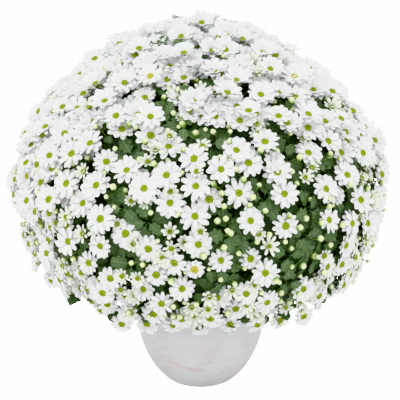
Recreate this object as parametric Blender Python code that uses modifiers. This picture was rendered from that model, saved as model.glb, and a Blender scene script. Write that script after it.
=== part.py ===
"""A pot chrysanthemum: a dome of white blooms in a whitewashed, bowl-shaped clay pot.

Metres, +Z up. The origin is the middle of the pot's flat foot, and -Y is the front.

The bush is a leafy heart on five main stems, with flower sprays all over it. Each
spray is one solid: an inverted cone of flower stalks whose broad top holds small
three-cornered seats, and each seat grows into an open bloom, a half-open bloom, a
lobed leaf or a bud. All places come from one golden-angle spiral over the dome.
"""

import math
import random

import bmesh
import bpy
from mathutils import Matrix, Vector
from mathutils.bvhtree import BVHTree
from mathutils.kdtree import KDTree

# Pot, soil and main stems
POT_BELLY_RADIUS = 0.0905
POT_BELLY_HEIGHT = 0.115
POT_BELLY_SPAN = 0.1335
POT_HEIGHT = 0.155
POT_WALL = 0.006
POT_FLOOR = 0.009
POT_SIDES = 30
POT_RINGS = 7
RING_CROWDING = 1.15
LIP_START = 0.149
LIP_ANGLES = (140, 90, 40)
DRAIN_HOLES = 3
DRAIN_RADIUS = 0.0045
DRAIN_CIRCLE = 0.024
SOIL_TOP = 0.140
SOIL_MOUND = 0.003
SOIL_SHOULDER = (0.55, 0.7)
STEMS = 5
STEM_RADIUS = 0.0042
STEM_CIRCLE = 0.030
STEM_DEPTH = 0.035
CLEARANCE = 0.0003
WELD = 0.00001

# Along a stem: distance from the pot's axis, height over the soil, share of the stem's radius
STEM_ROUTE = (
    (STEM_CIRCLE, -STEM_DEPTH, 1.0),
    (STEM_CIRCLE, 0.003, 1.0),
    (0.040, 0.018, 0.95),
    (0.056, 0.040, 0.90),
    (0.071, 0.064, 0.85),
)

# Colours
WHITEWASH = (0.78, 0.76, 0.73)
PEAT = (0.06, 0.04, 0.025)
STALK_GREEN = (0.10, 0.20, 0.05)
PETAL_WHITE = (0.90, 0.91, 0.92)
LEAF_GREEN = (0.05, 0.13, 0.04)
BUD_GREEN = (0.60, 0.72, 0.38)

# Dome that the faces of the blooms make
DOME_HALF_WIDTH = 0.2505
DOME_MIDDLE = 0.272
DOME_RISE = 0.235
DOME_DROP = 0.175
RISE_POWER = 1.75
DROP_POWER = 2.2
CROWN_LEAN = -0.012
LEAN_POWER = 4
SKIRT = math.radians(130)

# Places on the dome
SEED = 20
PLACES = 538
SPRAYS = 54
SPACING = 0.0390
JITTER = 0.35
SETTLING_ROUNDS = 40
SETTLING_PUSH = 0.3
TOP_GAP = 0.02
SPRAY_SKIRT = 0.93 * SKIRT
SPRAY_START = 1.0
SPRAY_SPACING = 3 * SPACING
SPRAY_SETTLING_ROUNDS = 10
GOLDEN_ANGLE = math.pi * (3 - math.sqrt(5))
FRONT = math.radians(62)
CROWN = math.radians(28)
LEAFY_SHARE = 0.11
BUDDY_SHARE = 0.05
YOUNG_SHARE = 0.13

# Leafy gaps seen from the front: degrees from the dome's top, and round from the front
LEAFY_GAPS = (
    (35, 0), (42, -17), (43, -47), (46, 39), (49, 57), (57, -25), (54, 8), (57, 30),
    (65, 50), (70, -25), (70, 22), (76, -13), (77, 35), (92, -18), (81, 29), (85, 12),
    (87, 41), (88, 24), (98, 8), (102, 24),
)
BUDDY_GAPS = ((77, 4), (96, 36), (110, 31), (50, -3), (72, 60), (64, -50), (100, -44))

# Heights below the dome, and what grows there
MATERIAL_OF = {"bloom": 1, "young": 1, "leaf": 2, "bud": 3}
SEAT_INSET = 0.0165
SEAT_RADIUS = 0.0027
SPRAY_MOUND = 0.004
SPRAY_REACH = 0.062
CELL_MARGIN = 0.0042
HEART_INSET = 0.058
FOOT_RADIUS = 0.003
FACING_UP = 0.45
BLOOM_LIFTS = (0.0118, 0.0090, 0.0148)
NEIGHBOURS = 7
NEIGHBOUR_REACH = 0.046
BLOOM_RADIUS = (0.0165, 0.0185)
YOUNG_RADIUS = (0.0100, 0.0130)
PETALS = 5
NOTCH = 0.70
DISC_LIFT = 0.0022
BLOOM_TIP_RISE = (-0.0012, 0.0010)
BLOOM_NOTCH_RISE = 0.0008
YOUNG_TIP_RISE = 0.005
YOUNG_NOTCH_RISE = 0.002
LEAF_LIFT = 0.0045
LEAF_REACH = 0.0190
LEAF_LYING = 3.0
LEAF_LEAN = 0.2
LEAF_OUTLINE = (1.0, 0.58, 0.86, 0.60, 0.80, 0.80, 0.60, 0.86, 0.58)
LEAF_LOBE_SHARE = 0.7
LEAF_LOBE_RISE = 0.0006
LEAF_NOTCH_RISE = -0.0010
LEAF_RIDGE = 0.0012
BUD_SEAT_RADIUS = 0.0013
BUD_RADIUS = 0.0044
BUD_SIDES = 6
BUD_STALK = (0.007, 0.010)
BUD_CLUSTER = 0.0082
BUD_SPREAD = 0.3
BUDS_TOGETHER = 2
UNDER_LEAVES = 12
UNDER_LEAF_RADIUS = 0.124
UNDER_LEAF_LIFT = 0.016
UNDER_LEAF_SPREAD = 0.25
UNDER_LEAF_WAVE = 0.15
ROOT_SUNK = 0.003
SHRINK = 0.96
SHRINK_ROUNDS = 14
GAP_SHARE = 0.985

# Rings of corners on the leafy heart: degrees from its top, corners in the ring
HEART_RINGS = ((24, 6), (50, 10), (76, 13), (98, 14), (118, 13))
HEART_EDGE = math.radians(134)
HEART_EDGE_CORNERS = 14


def clear_scene():
    for thing in list(bpy.data.objects):
        bpy.data.objects.remove(thing, do_unlink=True)


def new_collection(name, hidden=False):
    collection = bpy.data.collections.new(name)
    collection.hide_render = hidden
    bpy.context.scene.collection.children.link(collection)
    return collection


def new_material(name, colour, roughness):
    material = bpy.data.materials.new(name)
    material.use_nodes = True
    shader = material.node_tree.nodes["Principled BSDF"]
    shader.inputs["Base Color"].default_value = (*colour, 1)
    shader.inputs["Roughness"].default_value = roughness
    shader.inputs["Metallic"].default_value = 0
    material.diffuse_color = (*colour, 1)
    return material


def new_object(name, mesh, collection, *materials):
    thing = bpy.data.objects.new(name, mesh)
    for material in materials:
        mesh.materials.append(material)
    collection.objects.link(thing)
    return thing


# Pot


def pot_radius(height, inward=0.0):
    """Radius of the pot's curved wall at a height, or of the same curve moved inward."""
    up = (height - POT_BELLY_HEIGHT) / (POT_BELLY_SPAN - inward)
    return (POT_BELLY_RADIUS - inward) * math.sqrt(1 - up * up)


def turned(name, profile, sides, collection, material):
    """A solid turned round the vertical axis from a profile that runs down its outer side."""
    mesh = bpy.data.meshes.new(name)
    points = [(radius, 0, height) for radius, height in profile]
    mesh.from_pydata(points, [(i, i + 1) for i in range(len(points) - 1)], [])
    thing = new_object(name, mesh, collection, material)
    screw = thing.modifiers.new("Turn", "SCREW")
    screw.steps = sides
    screw.render_steps = sides
    screw.use_merge_vertices = True
    screw.merge_threshold = WELD
    screw.use_smooth_shade = True
    return thing


def cut_by(thing, cutters):
    boolean = thing.modifiers.new("Cut", "BOOLEAN")
    boolean.operation = "DIFFERENCE"
    boolean.operand_type = "COLLECTION"
    boolean.collection = cutters


def upright_cutter(name, radius, bottom, top, place, collection, sides=8):
    mesh = bpy.data.meshes.new(name)
    bm = bmesh.new()
    bmesh.ops.create_cone(
        bm, cap_ends=True, segments=sides, radius1=radius, radius2=radius, depth=top - bottom
    )
    bm.to_mesh(mesh)
    bm.free()
    cutter = new_object(name, mesh, collection)
    cutter.location = (place.x, place.y, (top + bottom) / 2)
    cutter.hide_render = True
    cutter.display_type = "WIRE"
    return cutter


def ring_places(count, radius, start=0.0):
    turn = 2 * math.pi / count
    return [
        Vector((radius * math.cos(start + i * turn), radius * math.sin(start + i * turn), 0))
        for i in range(count)
    ]


def wall_levels():
    """Heights at which the pot's inside is measured, from its floor up to the soil."""
    return [POT_FLOOR + (SOIL_TOP - POT_FLOOR) * i / 4 for i in range(5)]


def make_pot(parts):
    """Wall and floor of even thickness, a rounded lip, and drain holes round the floor's middle."""
    outside = [LIP_START * (1 - i / POT_RINGS) ** RING_CROWDING for i in range(POT_RINGS + 1)]
    lip_radius = pot_radius(LIP_START) - POT_WALL / 2
    profile = [(0, POT_FLOOR)]
    profile += [(pot_radius(height, POT_WALL), height) for height in wall_levels()]
    for angle in LIP_ANGLES:
        turn = math.radians(angle)
        rise = (POT_HEIGHT - LIP_START) * math.sin(turn)
        profile.append((lip_radius + POT_WALL / 2 * math.cos(turn), LIP_START + rise))
    profile += [(pot_radius(height), height) for height in outside]
    profile += [(0, 0)]
    clay = new_material("whitewashed_clay", WHITEWASH, 0.8)
    pot = turned("pot", profile, POT_SIDES, parts, clay)
    cutters = new_collection("drain_cutters", hidden=True)
    for i, place in enumerate(ring_places(DRAIN_HOLES, DRAIN_CIRCLE, math.pi / 2)):
        upright_cutter(
            f"drain_cutter_{i + 1}", DRAIN_RADIUS, -POT_FLOOR, 2 * POT_FLOOR, place, cutters
        )
    cut_by(pot, cutters)
    return pot


def stem_feet():
    return ring_places(STEMS, STEM_CIRCLE, math.radians(54))


def make_soil(parts):
    """Potting mix that fills the pot, a little higher in the middle, with a hole for each stem."""
    wall = POT_WALL + CLEARANCE
    top_radius = pot_radius(SOIL_TOP, wall)
    out, up = SOIL_SHOULDER
    profile = [(0, SOIL_TOP + SOIL_MOUND), (top_radius * out, SOIL_TOP + SOIL_MOUND * up)]
    profile += [(pot_radius(height, wall), height) for height in reversed(wall_levels()[1:])]
    floor = POT_FLOOR + CLEARANCE
    profile += [(pot_radius(floor, wall) - CLEARANCE, floor), (0, floor)]
    mix = new_material("potting_mix", PEAT, 0.95)
    soil = turned("soil", profile, POT_SIDES, parts, mix)
    cutters = new_collection("stem_hole_cutters", hidden=True)
    bottom = SOIL_TOP - STEM_DEPTH - CLEARANCE
    for i, place in enumerate(stem_feet()):
        upright_cutter(
            f"stem_hole_cutter_{i + 1}",
            STEM_RADIUS + 2 * CLEARANCE,
            bottom,
            SOIL_TOP + 2 * SOIL_MOUND,
            place,
            cutters,
        )
    cut_by(soil, cutters)
    return soil


# Dome


def dome_middle(height):
    """Where the dome's middle is along X at a height over its widest level: its crown leans left."""
    return CROWN_LEAN * max(0, height / DOME_RISE) ** LEAN_POWER


def dome_point(polar, azimuth, inset=0.0):
    """A point on the dome, or on the same dome shrunk by the inset. Azimuth 0 is the front."""
    side, up = math.sin(polar), math.cos(polar)
    power = RISE_POWER if up >= 0 else DROP_POWER
    half_height = (DOME_RISE if up >= 0 else DOME_DROP) - inset
    radius = (DOME_HALF_WIDTH - inset) * side ** (2 / power)
    height = math.copysign(half_height * abs(up) ** (2 / power), up)
    x = dome_middle(height) + radius * math.sin(azimuth)
    return Vector((x, -radius * math.cos(azimuth), DOME_MIDDLE + height))


def dome_angles(point):
    """The polar angle and azimuth of the dome point nearest to a point."""
    height = point.z - DOME_MIDDLE
    across = point.x - dome_middle(height)
    power = RISE_POWER if height >= 0 else DROP_POWER
    half_height = DOME_RISE if height >= 0 else DOME_DROP
    side = (math.hypot(across, point.y) / DOME_HALF_WIDTH) ** (power / 2)
    up = math.copysign((abs(height) / half_height) ** (power / 2), height)
    return math.atan2(side, up), math.atan2(across, -point.y)


def surface_frame(surface, polar, azimuth):
    """Point, outward normal and downhill tangent of a surface given as a function of two angles."""
    step = 0.004
    point = surface(polar, azimuth)
    down = surface(polar + step, azimuth) - surface(polar - step, azimuth)
    round_ = surface(polar, azimuth + step) - surface(polar, azimuth - step)
    normal = down.cross(round_).normalized()
    return point, normal, down.normalized()


def even_polar_angles(count, last):
    """Polar angles that give each place of a spiral the same area of the dome."""
    steps = 400
    shares = [0.0]
    before = dome_point(0.0001, 0)
    for i in range(1, steps + 1):
        here = dome_point(last * i / steps, 0)
        ring = abs(here.y) + abs(before.y)
        shares.append(shares[-1] + ring * (here - before).length)
        before = here
    angles = []
    i = 0
    for place in range(count):
        wanted = shares[-1] * (place + 0.5) / count
        while shares[i + 1] < wanted:
            i += 1
        part = (wanted - shares[i]) / (shares[i + 1] - shares[i])
        angles.append(last * (i + part) / steps)
    return angles


def spiral(count, last, start=0.0):
    polar_angles = even_polar_angles(count, last)
    return [(polar, start + i * GOLDEN_ANGLE) for i, polar in enumerate(polar_angles)]


def settled(places, spacing, rounds):
    """Places that stand closer than the spacing push each other apart along the dome."""
    for _ in range(rounds):
        points = [dome_point(*place) for place in places]
        tree = KDTree(len(points))
        for i, point in enumerate(points):
            tree.insert(point, i)
        tree.balance()
        moved = []
        for i, point in enumerate(points):
            push = Vector()
            for near, j, distance in tree.find_range(point, spacing):
                if j != i and distance > 0:
                    push += (point - near) * (spacing - distance) / distance
            polar, azimuth = dome_angles(point + push * SETTLING_PUSH)
            moved.append((min(polar, SKIRT), azimuth))
        places = moved
    return places


def bloom_places(rng):
    jitter = JITTER * SPACING / DOME_HALF_WIDTH
    rough = [
        (
            min(SKIRT, max(TOP_GAP, polar + rng.uniform(-jitter, jitter))),
            azimuth + rng.uniform(-jitter, jitter),
        )
        for polar, azimuth in spiral(PLACES, SKIRT)
    ]
    return settled(rough, SPACING, SETTLING_ROUNDS)


def kinds_of(places, rng):
    """What grows at each place: the gaps seen from the front, and seeded draws elsewhere."""
    kinds = []
    for polar, azimuth in places:
        azimuth = math.remainder(azimuth, 2 * math.pi)
        draw = rng.random()
        hidden = abs(azimuth) > FRONT or polar < CROWN
        if hidden and draw < LEAFY_SHARE:
            kinds.append("leaf")
        elif hidden and draw < LEAFY_SHARE + BUDDY_SHARE:
            kinds.append("buds")
        elif draw > 1 - YOUNG_SHARE:
            kinds.append("young")
        else:
            kinds.append("bloom")
    points = [dome_point(*place) for place in places]
    for gaps, kind in ((LEAFY_GAPS, "leaf"), (BUDDY_GAPS, "buds")):
        for polar, azimuth in gaps:
            gap = dome_point(math.radians(polar), math.radians(azimuth))
            nearest = min(range(len(points)), key=lambda i: (points[i] - gap).length)
            kinds[nearest] = kind
    return kinds


# Sprays


def mounded(centre):
    """The surface of one spray's top: the dome, a little lower away from the spray's centre."""

    def surface(polar, azimuth):
        away = (dome_point(polar, azimuth) - centre).length / SPRAY_REACH
        return dome_point(polar, azimuth, SEAT_INSET + SPRAY_MOUND * away * away)

    return surface


def inside_cell(place, own, others):
    """The place moved, where needed, to stand a margin inside its own spray's cell."""
    point = dome_point(*place)
    for other in others:
        across = (other - own).normalized()
        beyond = (point - (own + other) / 2).dot(across) + CELL_MARGIN
        if beyond > 0:
            point -= across * beyond
    return dome_angles(point)


def seat_points(point, normal, heading, radius):
    """Three corners of a seat, anticlockwise seen from outside, the first one along the heading."""
    side = normal.cross(heading)
    turn = 2 * math.pi / 3
    return [
        point + (heading * math.cos(i * turn) + side * math.sin(i * turn)) * radius
        for i in range(3)
    ]


def turned_heading(normal, tangent, angle):
    return Matrix.Rotation(angle, 3, normal) @ tangent


def rim_points(growth, outline, rises):
    """Points round a growth's axis, from its heading on, at shares of its reach and at rises."""
    centre, axis = growth["centre"], growth["axis"]
    side = axis.cross(growth["heading"]).normalized()
    ahead = side.cross(axis)
    turn = 2 * math.pi / len(outline)
    return [
        centre
        + (ahead * math.cos(i * turn) + side * math.sin(i * turn)) * growth["reach"] * share
        + axis * rise
        for i, (share, rise) in enumerate(zip(outline, rises))
    ]


def shape_of(growth):
    """A growth's points: its seat's three corners, its rim, and its tip last."""
    if growth["kind"] == "leaf":
        outline = LEAF_OUTLINE
        rises = [
            LEAF_LOBE_RISE if share > LEAF_LOBE_SHARE else LEAF_NOTCH_RISE for share in outline
        ]
        tip_rise = LEAF_RIDGE
    elif growth["kind"] == "bud":
        outline = (1.0,) * BUD_SIDES
        rises = (0.0,) * BUD_SIDES
        tip_rise = BUD_RADIUS
    else:
        outline = (1.0, NOTCH) * PETALS
        rises = (growth["tip_rise"], growth["notch_rise"]) * PETALS
        tip_rise = DISC_LIFT
    tip = growth["centre"] + growth["axis"] * tip_rise
    return growth["seat"] + rim_points(growth, outline, rises) + [tip]


def loft_triangles(count):
    """Triangles from a seat's three corners out to a rim of so many points and over to the tip."""

    def corner_below(step):
        return int(3 * (step + 0.5) / count + 0.5) % 3

    tip = 3 + count
    triangles = []
    for i in range(count):
        here, after = 3 + i, 3 + (i + 1) % count
        corner, corner_before = corner_below(i), corner_below(i - 1)
        if corner != corner_before:
            triangles.append((here, corner_before, corner))
        triangles.append((after, here, corner))
        triangles.append((tip, here, after))
    return triangles


def growth_tree(growth):
    points = shape_of(growth)
    return BVHTree.FromPolygons(points, loft_triangles(len(points) - 4))


def neighbours(growths):
    """Pairs of growths whose middles stand near enough for their rims to meet."""
    tree = KDTree(len(growths))
    for i, growth in enumerate(growths):
        tree.insert(growth["centre"], i)
    tree.balance()
    return [
        (i, j)
        for i, growth in enumerate(growths)
        for _, j, _ in tree.find_range(growth["centre"], NEIGHBOUR_REACH)
        if j > i
    ]


def shrink_to_clear(growths):
    """Petals may lie over a neighbour's, but what would cross it is made smaller."""
    pairs = neighbours(growths)
    trees = [growth_tree(growth) for growth in growths]
    for _ in range(SHRINK_ROUNDS):
        crossing = {
            i for pair in pairs if trees[pair[0]].overlap(trees[pair[1]]) for i in pair
        }
        if not crossing:
            break
        for i in crossing:
            growths[i]["reach"] *= SHRINK
            trees[i] = growth_tree(growths[i])
    for growth in growths:
        growth["reach"] *= GAP_SHARE


def grow(bm, seat, growth):
    """Replaces a seat's face with its growth."""
    face = bm.faces.get(seat)
    if face is None:
        raise RuntimeError("a seat is missing from its hull")
    bm.faces.remove(face)
    points = shape_of(growth)
    verts = list(seat) + [bm.verts.new(point) for point in points[3:]]
    for triangle in loft_triangles(len(points) - 4):
        new_face = bm.faces.new([verts[i] for i in triangle])
        new_face.material_index = MATERIAL_OF[growth["kind"]]


def hull_of(bm, points):
    """Adds the convex hull of the points, and drops what lies inside it."""
    verts = [bm.verts.new(point) for point in points]
    hull = bmesh.ops.convex_hull(bm, input=verts)
    spare = [item for item in hull["geom_interior"] if isinstance(item, bmesh.types.BMVert)]
    if spare:
        raise RuntimeError(f"{len(spare)} hull points lie inside")
    return verts


def growth_at(kind, frame, level, rng):
    """The seat, place, axis and size of what grows from one seat of a spray."""
    point, normal, tangent = frame
    axis = (normal + Vector((0, 0, FACING_UP))).normalized()
    heading = turned_heading(normal, tangent, rng.uniform(0, 2 * math.pi))
    growth = {"kind": kind, "heading": heading, "axis": axis}
    growth["seat"] = seat_points(point, normal, heading, SEAT_RADIUS)
    if kind == "leaf":
        growth["axis"] = (normal * LEAF_LYING + axis + heading * LEAF_LEAN).normalized()
        growth["centre"] = point + normal * LEAF_LIFT
        growth["reach"] = LEAF_REACH
    else:
        young = kind == "young"
        growth["reach"] = rng.uniform(*(YOUNG_RADIUS if young else BLOOM_RADIUS))
        growth["tip_rise"] = YOUNG_TIP_RISE if young else rng.uniform(*BLOOM_TIP_RISE)
        growth["notch_rise"] = YOUNG_NOTCH_RISE if young else BLOOM_NOTCH_RISE
        growth["centre"] = point + axis * BLOOM_LIFTS[level]
    return growth


def levels_of(points):
    """One of three heights for each place, unlike those of most of its neighbours."""
    tree = KDTree(len(points))
    for i, point in enumerate(points):
        tree.insert(point, i)
    tree.balance()
    levels = {}
    for i, point in enumerate(points):
        near = [levels[j] for _, j, _ in tree.find_n(point, NEIGHBOURS) if j in levels]
        levels[i] = min(range(len(BLOOM_LIFTS)), key=near.count)
    return levels


def bud_growths(surface, place, rng):
    """A cluster of buds, each on a seat of its own round the place."""
    point, normal, tangent = surface_frame(surface, *place)
    start = rng.uniform(0, 2 * math.pi)
    growths = []
    for i in range(BUDS_TOGETHER):
        away = turned_heading(normal, tangent, start + i * 2 * math.pi / BUDS_TOGETHER)
        angles = dome_angles(point + away * BUD_CLUSTER)
        spot, up, down = surface_frame(surface, *angles)
        axis = (up + Vector((0, 0, FACING_UP)) + away * BUD_SPREAD).normalized()
        growths.append(
            {
                "kind": "bud",
                "seat": seat_points(spot, up, down, BUD_SEAT_RADIUS),
                "axis": axis,
                "heading": down,
                "centre": spot + axis * rng.uniform(*BUD_STALK),
                "reach": BUD_RADIUS,
            }
        )
    return growths


def planned_sprays():
    """For each spray its centre place and all that grows on it, with sizes that stay clear."""
    rng = random.Random(SEED)
    places = bloom_places(rng)
    kinds = kinds_of(places, rng)
    points = [dome_point(*place) for place in places]
    levels = levels_of(points)
    rough = spiral(SPRAYS, SPRAY_SKIRT, SPRAY_START)
    centres = settled(rough, SPRAY_SPACING, SPRAY_SETTLING_ROUNDS)
    centre_points = [dome_point(*centre) for centre in centres]
    sprays = [{"place": centre, "growths": []} for centre in centres]
    for i, (place, kind) in enumerate(zip(places, kinds)):
        own = min(range(SPRAYS), key=lambda k: (centre_points[k] - points[i]).length)
        others = [centre_points[k] for k in range(SPRAYS) if k != own]
        place = inside_cell(place, centre_points[own], others)
        surface = mounded(centre_points[own])
        if kind == "buds":
            sprays[own]["growths"] += bud_growths(surface, place, rng)
        else:
            frame = surface_frame(surface, *place)
            sprays[own]["growths"].append(growth_at(kind, frame, levels[i], rng))
    shrink_to_clear([growth for spray in sprays for growth in spray["growths"]])
    return sprays


def make_sprays(sprays, heart_tree, parts, materials):
    """Each spray is the hull of its seats and of a small foot on the heart, grown at its seats."""
    made = []
    for number, spray in enumerate(sprays, 1):
        top, _, tangent = surface_frame(dome_point, *spray["place"])
        inward = (heart_surface(*spray["place"]) - top).normalized()
        foot, facing, _, _ = heart_tree.ray_cast(top, inward)
        foot += facing * CLEARANCE
        tangent = (tangent - facing * tangent.dot(facing)).normalized()
        foot_corners = seat_points(foot, facing, tangent, FOOT_RADIUS)
        bm = bmesh.new()
        points = list(foot_corners)
        for growth in spray["growths"]:
            points += growth["seat"]
        verts = hull_of(bm, points)
        for i, growth in enumerate(spray["growths"], 1):
            grow(bm, verts[3 * i : 3 * i + 3], growth)
        mesh = bpy.data.meshes.new(f"spray_{number:02d}")
        bm.to_mesh(mesh)
        bm.free()
        made.append(new_object(mesh.name, mesh, parts, *materials))
    return made


# Leafy heart


def heart_surface(polar, azimuth):
    return dome_point(polar, azimuth, HEART_INSET)


def make_under_leaf(number, place, height, collection, material):
    """A leaf that hangs from the heart's underside, with its root sunk in."""
    outward = place.normalized()
    down = Vector((0, 0, -1))
    root = place + Vector((0, 0, height + ROOT_SUNK))
    spread = UNDER_LEAF_SPREAD + UNDER_LEAF_WAVE * math.sin(number * GOLDEN_ANGLE)
    axis = (down + outward * spread).normalized()
    growth = {
        "kind": "leaf",
        "seat": seat_points(root, down, outward, SEAT_RADIUS),
        "axis": axis,
        "heading": outward,
        "centre": root + axis * UNDER_LEAF_LIFT,
        "reach": LEAF_REACH,
    }
    points = shape_of(growth)
    triangles = loft_triangles(len(points) - 4) + [(2, 1, 0)]
    mesh = bpy.data.meshes.new(f"under_leaf_{number}")
    mesh.from_pydata(points, [], triangles)
    return new_object(mesh.name, mesh, collection, material)


def heart_points():
    """Corners of the heart: its top, rings down its sides, and the edge of its flat underside."""
    points = [heart_surface(0, 0)]
    for degrees, count in HEART_RINGS:
        for i in range(count):
            azimuth = 2 * math.pi * (i + 0.5 * (degrees > 90)) / count
            points.append(heart_surface(math.radians(degrees), azimuth))
    edge = heart_surface(HEART_EDGE, 0)
    middle = Vector((0, 0, edge.z))
    return points + [place + middle for place in ring_places(HEART_EDGE_CORNERS, -edge.y)]


def make_stem(name, outward, collection, material):
    """A tapering tube that rises from the soil and leans outward into the heart."""
    curve = bpy.data.curves.new(name, "CURVE")
    curve.dimensions = "3D"
    curve.bevel_depth = STEM_RADIUS
    curve.bevel_resolution = 1
    curve.use_fill_caps = True
    spline = curve.splines.new("POLY")
    spline.points.add(len(STEM_ROUTE) - 1)
    for point, (distance, height, radius_share) in zip(spline.points, STEM_ROUTE):
        point.co = (outward.x * distance, outward.y * distance, SOIL_TOP + height, 1)
        point.radius = radius_share
    thing = bpy.data.objects.new(name, curve)
    collection.objects.link(thing)
    graph = bpy.context.evaluated_depsgraph_get()
    graph.update()
    mesh = bpy.data.meshes.new_from_object(thing.evaluated_get(graph))
    bpy.data.objects.remove(thing, do_unlink=True)
    bm = bmesh.new()
    bm.from_mesh(mesh)
    bmesh.ops.remove_doubles(bm, verts=bm.verts, dist=WELD)
    bmesh.ops.recalc_face_normals(bm, faces=bm.faces)
    bm.to_mesh(mesh)
    bm.free()
    return new_object(name, mesh, collection, material)


def make_heart(parts, materials):
    """The close mass of side stems and leaves, with main stems and hanging leaves fused below."""
    points = heart_points()
    bm = bmesh.new()
    hull_of(bm, points)
    mesh = bpy.data.meshes.new("leafy_heart")
    bm.to_mesh(mesh)
    bm.free()
    heart = new_object("leafy_heart", mesh, parts, *materials)
    grown = new_collection("stems_and_under_leaves", hidden=True)
    for i, foot in enumerate(stem_feet(), 1):
        make_stem(f"stem_{i}", foot.normalized(), grown, materials[0])
    for i, place in enumerate(ring_places(UNDER_LEAVES, UNDER_LEAF_RADIUS), 1):
        make_under_leaf(i, place, points[-1].z, grown, materials[2])
    union = heart.modifiers.new("Grown below", "BOOLEAN")
    union.operation = "UNION"
    union.operand_type = "COLLECTION"
    union.collection = grown
    graph = bpy.context.evaluated_depsgraph_get()
    graph.update()
    joined = bpy.data.meshes.new_from_object(heart.evaluated_get(graph))
    heart.modifiers.clear()
    heart.data = joined
    for thing in list(grown.objects):
        bpy.data.objects.remove(thing, do_unlink=True)
    bpy.data.collections.remove(grown)
    return heart


def tree_of(thing):
    bm = bmesh.new()
    bm.from_mesh(thing.data)
    tree = BVHTree.FromBMesh(bm)
    bm.free()
    return tree


def main():
    clear_scene()
    parts = new_collection("pot_chrysanthemum")
    materials = (
        new_material("green_stalk", STALK_GREEN, 0.6),
        new_material("white_petal", PETAL_WHITE, 0.55),
        new_material("green_leaf", LEAF_GREEN, 0.5),
        new_material("pale_bud", BUD_GREEN, 0.5),
    )
    make_pot(parts)
    make_soil(parts)
    sprays = planned_sprays()
    heart = make_heart(parts, materials)
    make_sprays(sprays, tree_of(heart), parts, materials)


main()
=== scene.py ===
"""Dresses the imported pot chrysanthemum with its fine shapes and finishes.

Metres, +Z up. The pot's flat foot stands at the origin, and -Y is the front. The blooms
of the solid sprays keep their places here, by the same rule, and more blooms, half-open
blooms, buds and leaves grow between and under them. The bush is made in six sides, and
in each side the petals, discs, buds, leaves and stalks are pieces of their own.
"""

import functools
import itertools
import math
import random
from types import SimpleNamespace

import bmesh
import bpy
import numpy as np
from mathutils import Matrix, Vector
from mathutils.kdtree import KDTree


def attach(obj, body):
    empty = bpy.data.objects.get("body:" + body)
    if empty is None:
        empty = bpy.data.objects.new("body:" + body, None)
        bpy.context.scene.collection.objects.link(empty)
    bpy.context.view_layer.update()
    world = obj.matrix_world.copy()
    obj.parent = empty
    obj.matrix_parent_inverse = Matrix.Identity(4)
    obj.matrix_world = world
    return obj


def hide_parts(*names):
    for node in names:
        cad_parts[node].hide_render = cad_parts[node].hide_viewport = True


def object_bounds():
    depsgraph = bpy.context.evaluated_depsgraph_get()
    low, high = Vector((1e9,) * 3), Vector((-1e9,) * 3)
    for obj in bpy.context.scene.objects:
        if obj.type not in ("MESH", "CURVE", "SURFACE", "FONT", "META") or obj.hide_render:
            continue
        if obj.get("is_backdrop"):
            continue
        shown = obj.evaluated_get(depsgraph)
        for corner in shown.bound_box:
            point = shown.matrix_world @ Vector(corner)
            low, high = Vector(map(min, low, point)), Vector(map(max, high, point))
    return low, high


bl_info = {
    "name": "Pot chrysanthemum",
    "version": (1, 0, 0),
    "blender": (4, 5, 0),
    "location": "View3D > Sidebar > Chrysanthemum",
    "description": "Blooms, leaves, stems, soil and clay pot of a pot chrysanthemum",
    "category": "Object",
}

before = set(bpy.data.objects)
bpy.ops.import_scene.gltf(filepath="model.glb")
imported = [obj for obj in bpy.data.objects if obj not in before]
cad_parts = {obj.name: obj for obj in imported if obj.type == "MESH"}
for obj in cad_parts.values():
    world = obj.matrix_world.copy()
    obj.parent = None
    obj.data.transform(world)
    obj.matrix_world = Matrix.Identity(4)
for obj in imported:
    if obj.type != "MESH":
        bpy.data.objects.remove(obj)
CAD_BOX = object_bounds()
BODY = "root"
MAP = "OFBake"

# Pot, soil and stems, as in the solids
POT_BELLY_RADIUS = 0.0905
POT_BELLY_HEIGHT = 0.115
POT_BELLY_SPAN = 0.1335
POT_HEIGHT = 0.155
POT_WALL = 0.006
POT_FLOOR = 0.009
LIP_START = 0.149
DRAIN_HOLES = 3
DRAIN_RADIUS = 0.0045
DRAIN_CIRCLE = 0.024
SOIL_TOP = 0.140
SOIL_MOUND = 0.003
STEMS = 5
STEM_RADIUS = 0.0042
STEM_CIRCLE = 0.030
STEM_DEPTH = 0.035
STEM_START = math.radians(54)
CLEARANCE = 0.0003

# Outer face of the pot: fuller low down than in the solids, with shallow rings and dents
POT_SIDES = 128
POT_FULLNESS = 0.0034
FULLER_BELOW = 0.085
RING_DEPTH = 0.00018
DENT_DEPTH = 0.00030
RELIEF_START = 0.01
RELIEF_RADIUS = 0.08

# Stems: distance from the middle and height over the soil, thickness, and their branches
STEM_ROUTE = (
    (STEM_CIRCLE, -STEM_DEPTH), (STEM_CIRCLE, 0.003), (0.036, 0.012), (0.045, 0.028),
    (0.056, 0.044), (0.071, 0.064),
)
STEM_SWELLING = (1.0, 1.08, 0.98, 0.95, 0.92, 0.9)
TIP_INSET = 0.050
BRANCH_SAG = 0.02
BRANCH_STEPS = 8
BRANCH_RADII = (0.0032, 0.0014)

# Scuffs on the pot: degrees round from the front, height, half width and half height, strength
SCUFFS = (
    (-33, 0.058, 0.013, 0.0022, 0.9), (-25, 0.051, 0.015, 0.0026, 1.0),
    (-14, 0.045, 0.017, 0.0030, 1.0), (-4, 0.042, 0.014, 0.0028, 0.9),
    (26, 0.056, 0.016, 0.0016, 0.5), (2, 0.004, 0.018, 0.0040, 1.0),
    (150, 0.060, 0.024, 0.0050, 0.9), (95, 0.030, 0.018, 0.0050, 0.8),
    (215, 0.045, 0.026, 0.0045, 0.9),
)

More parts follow.
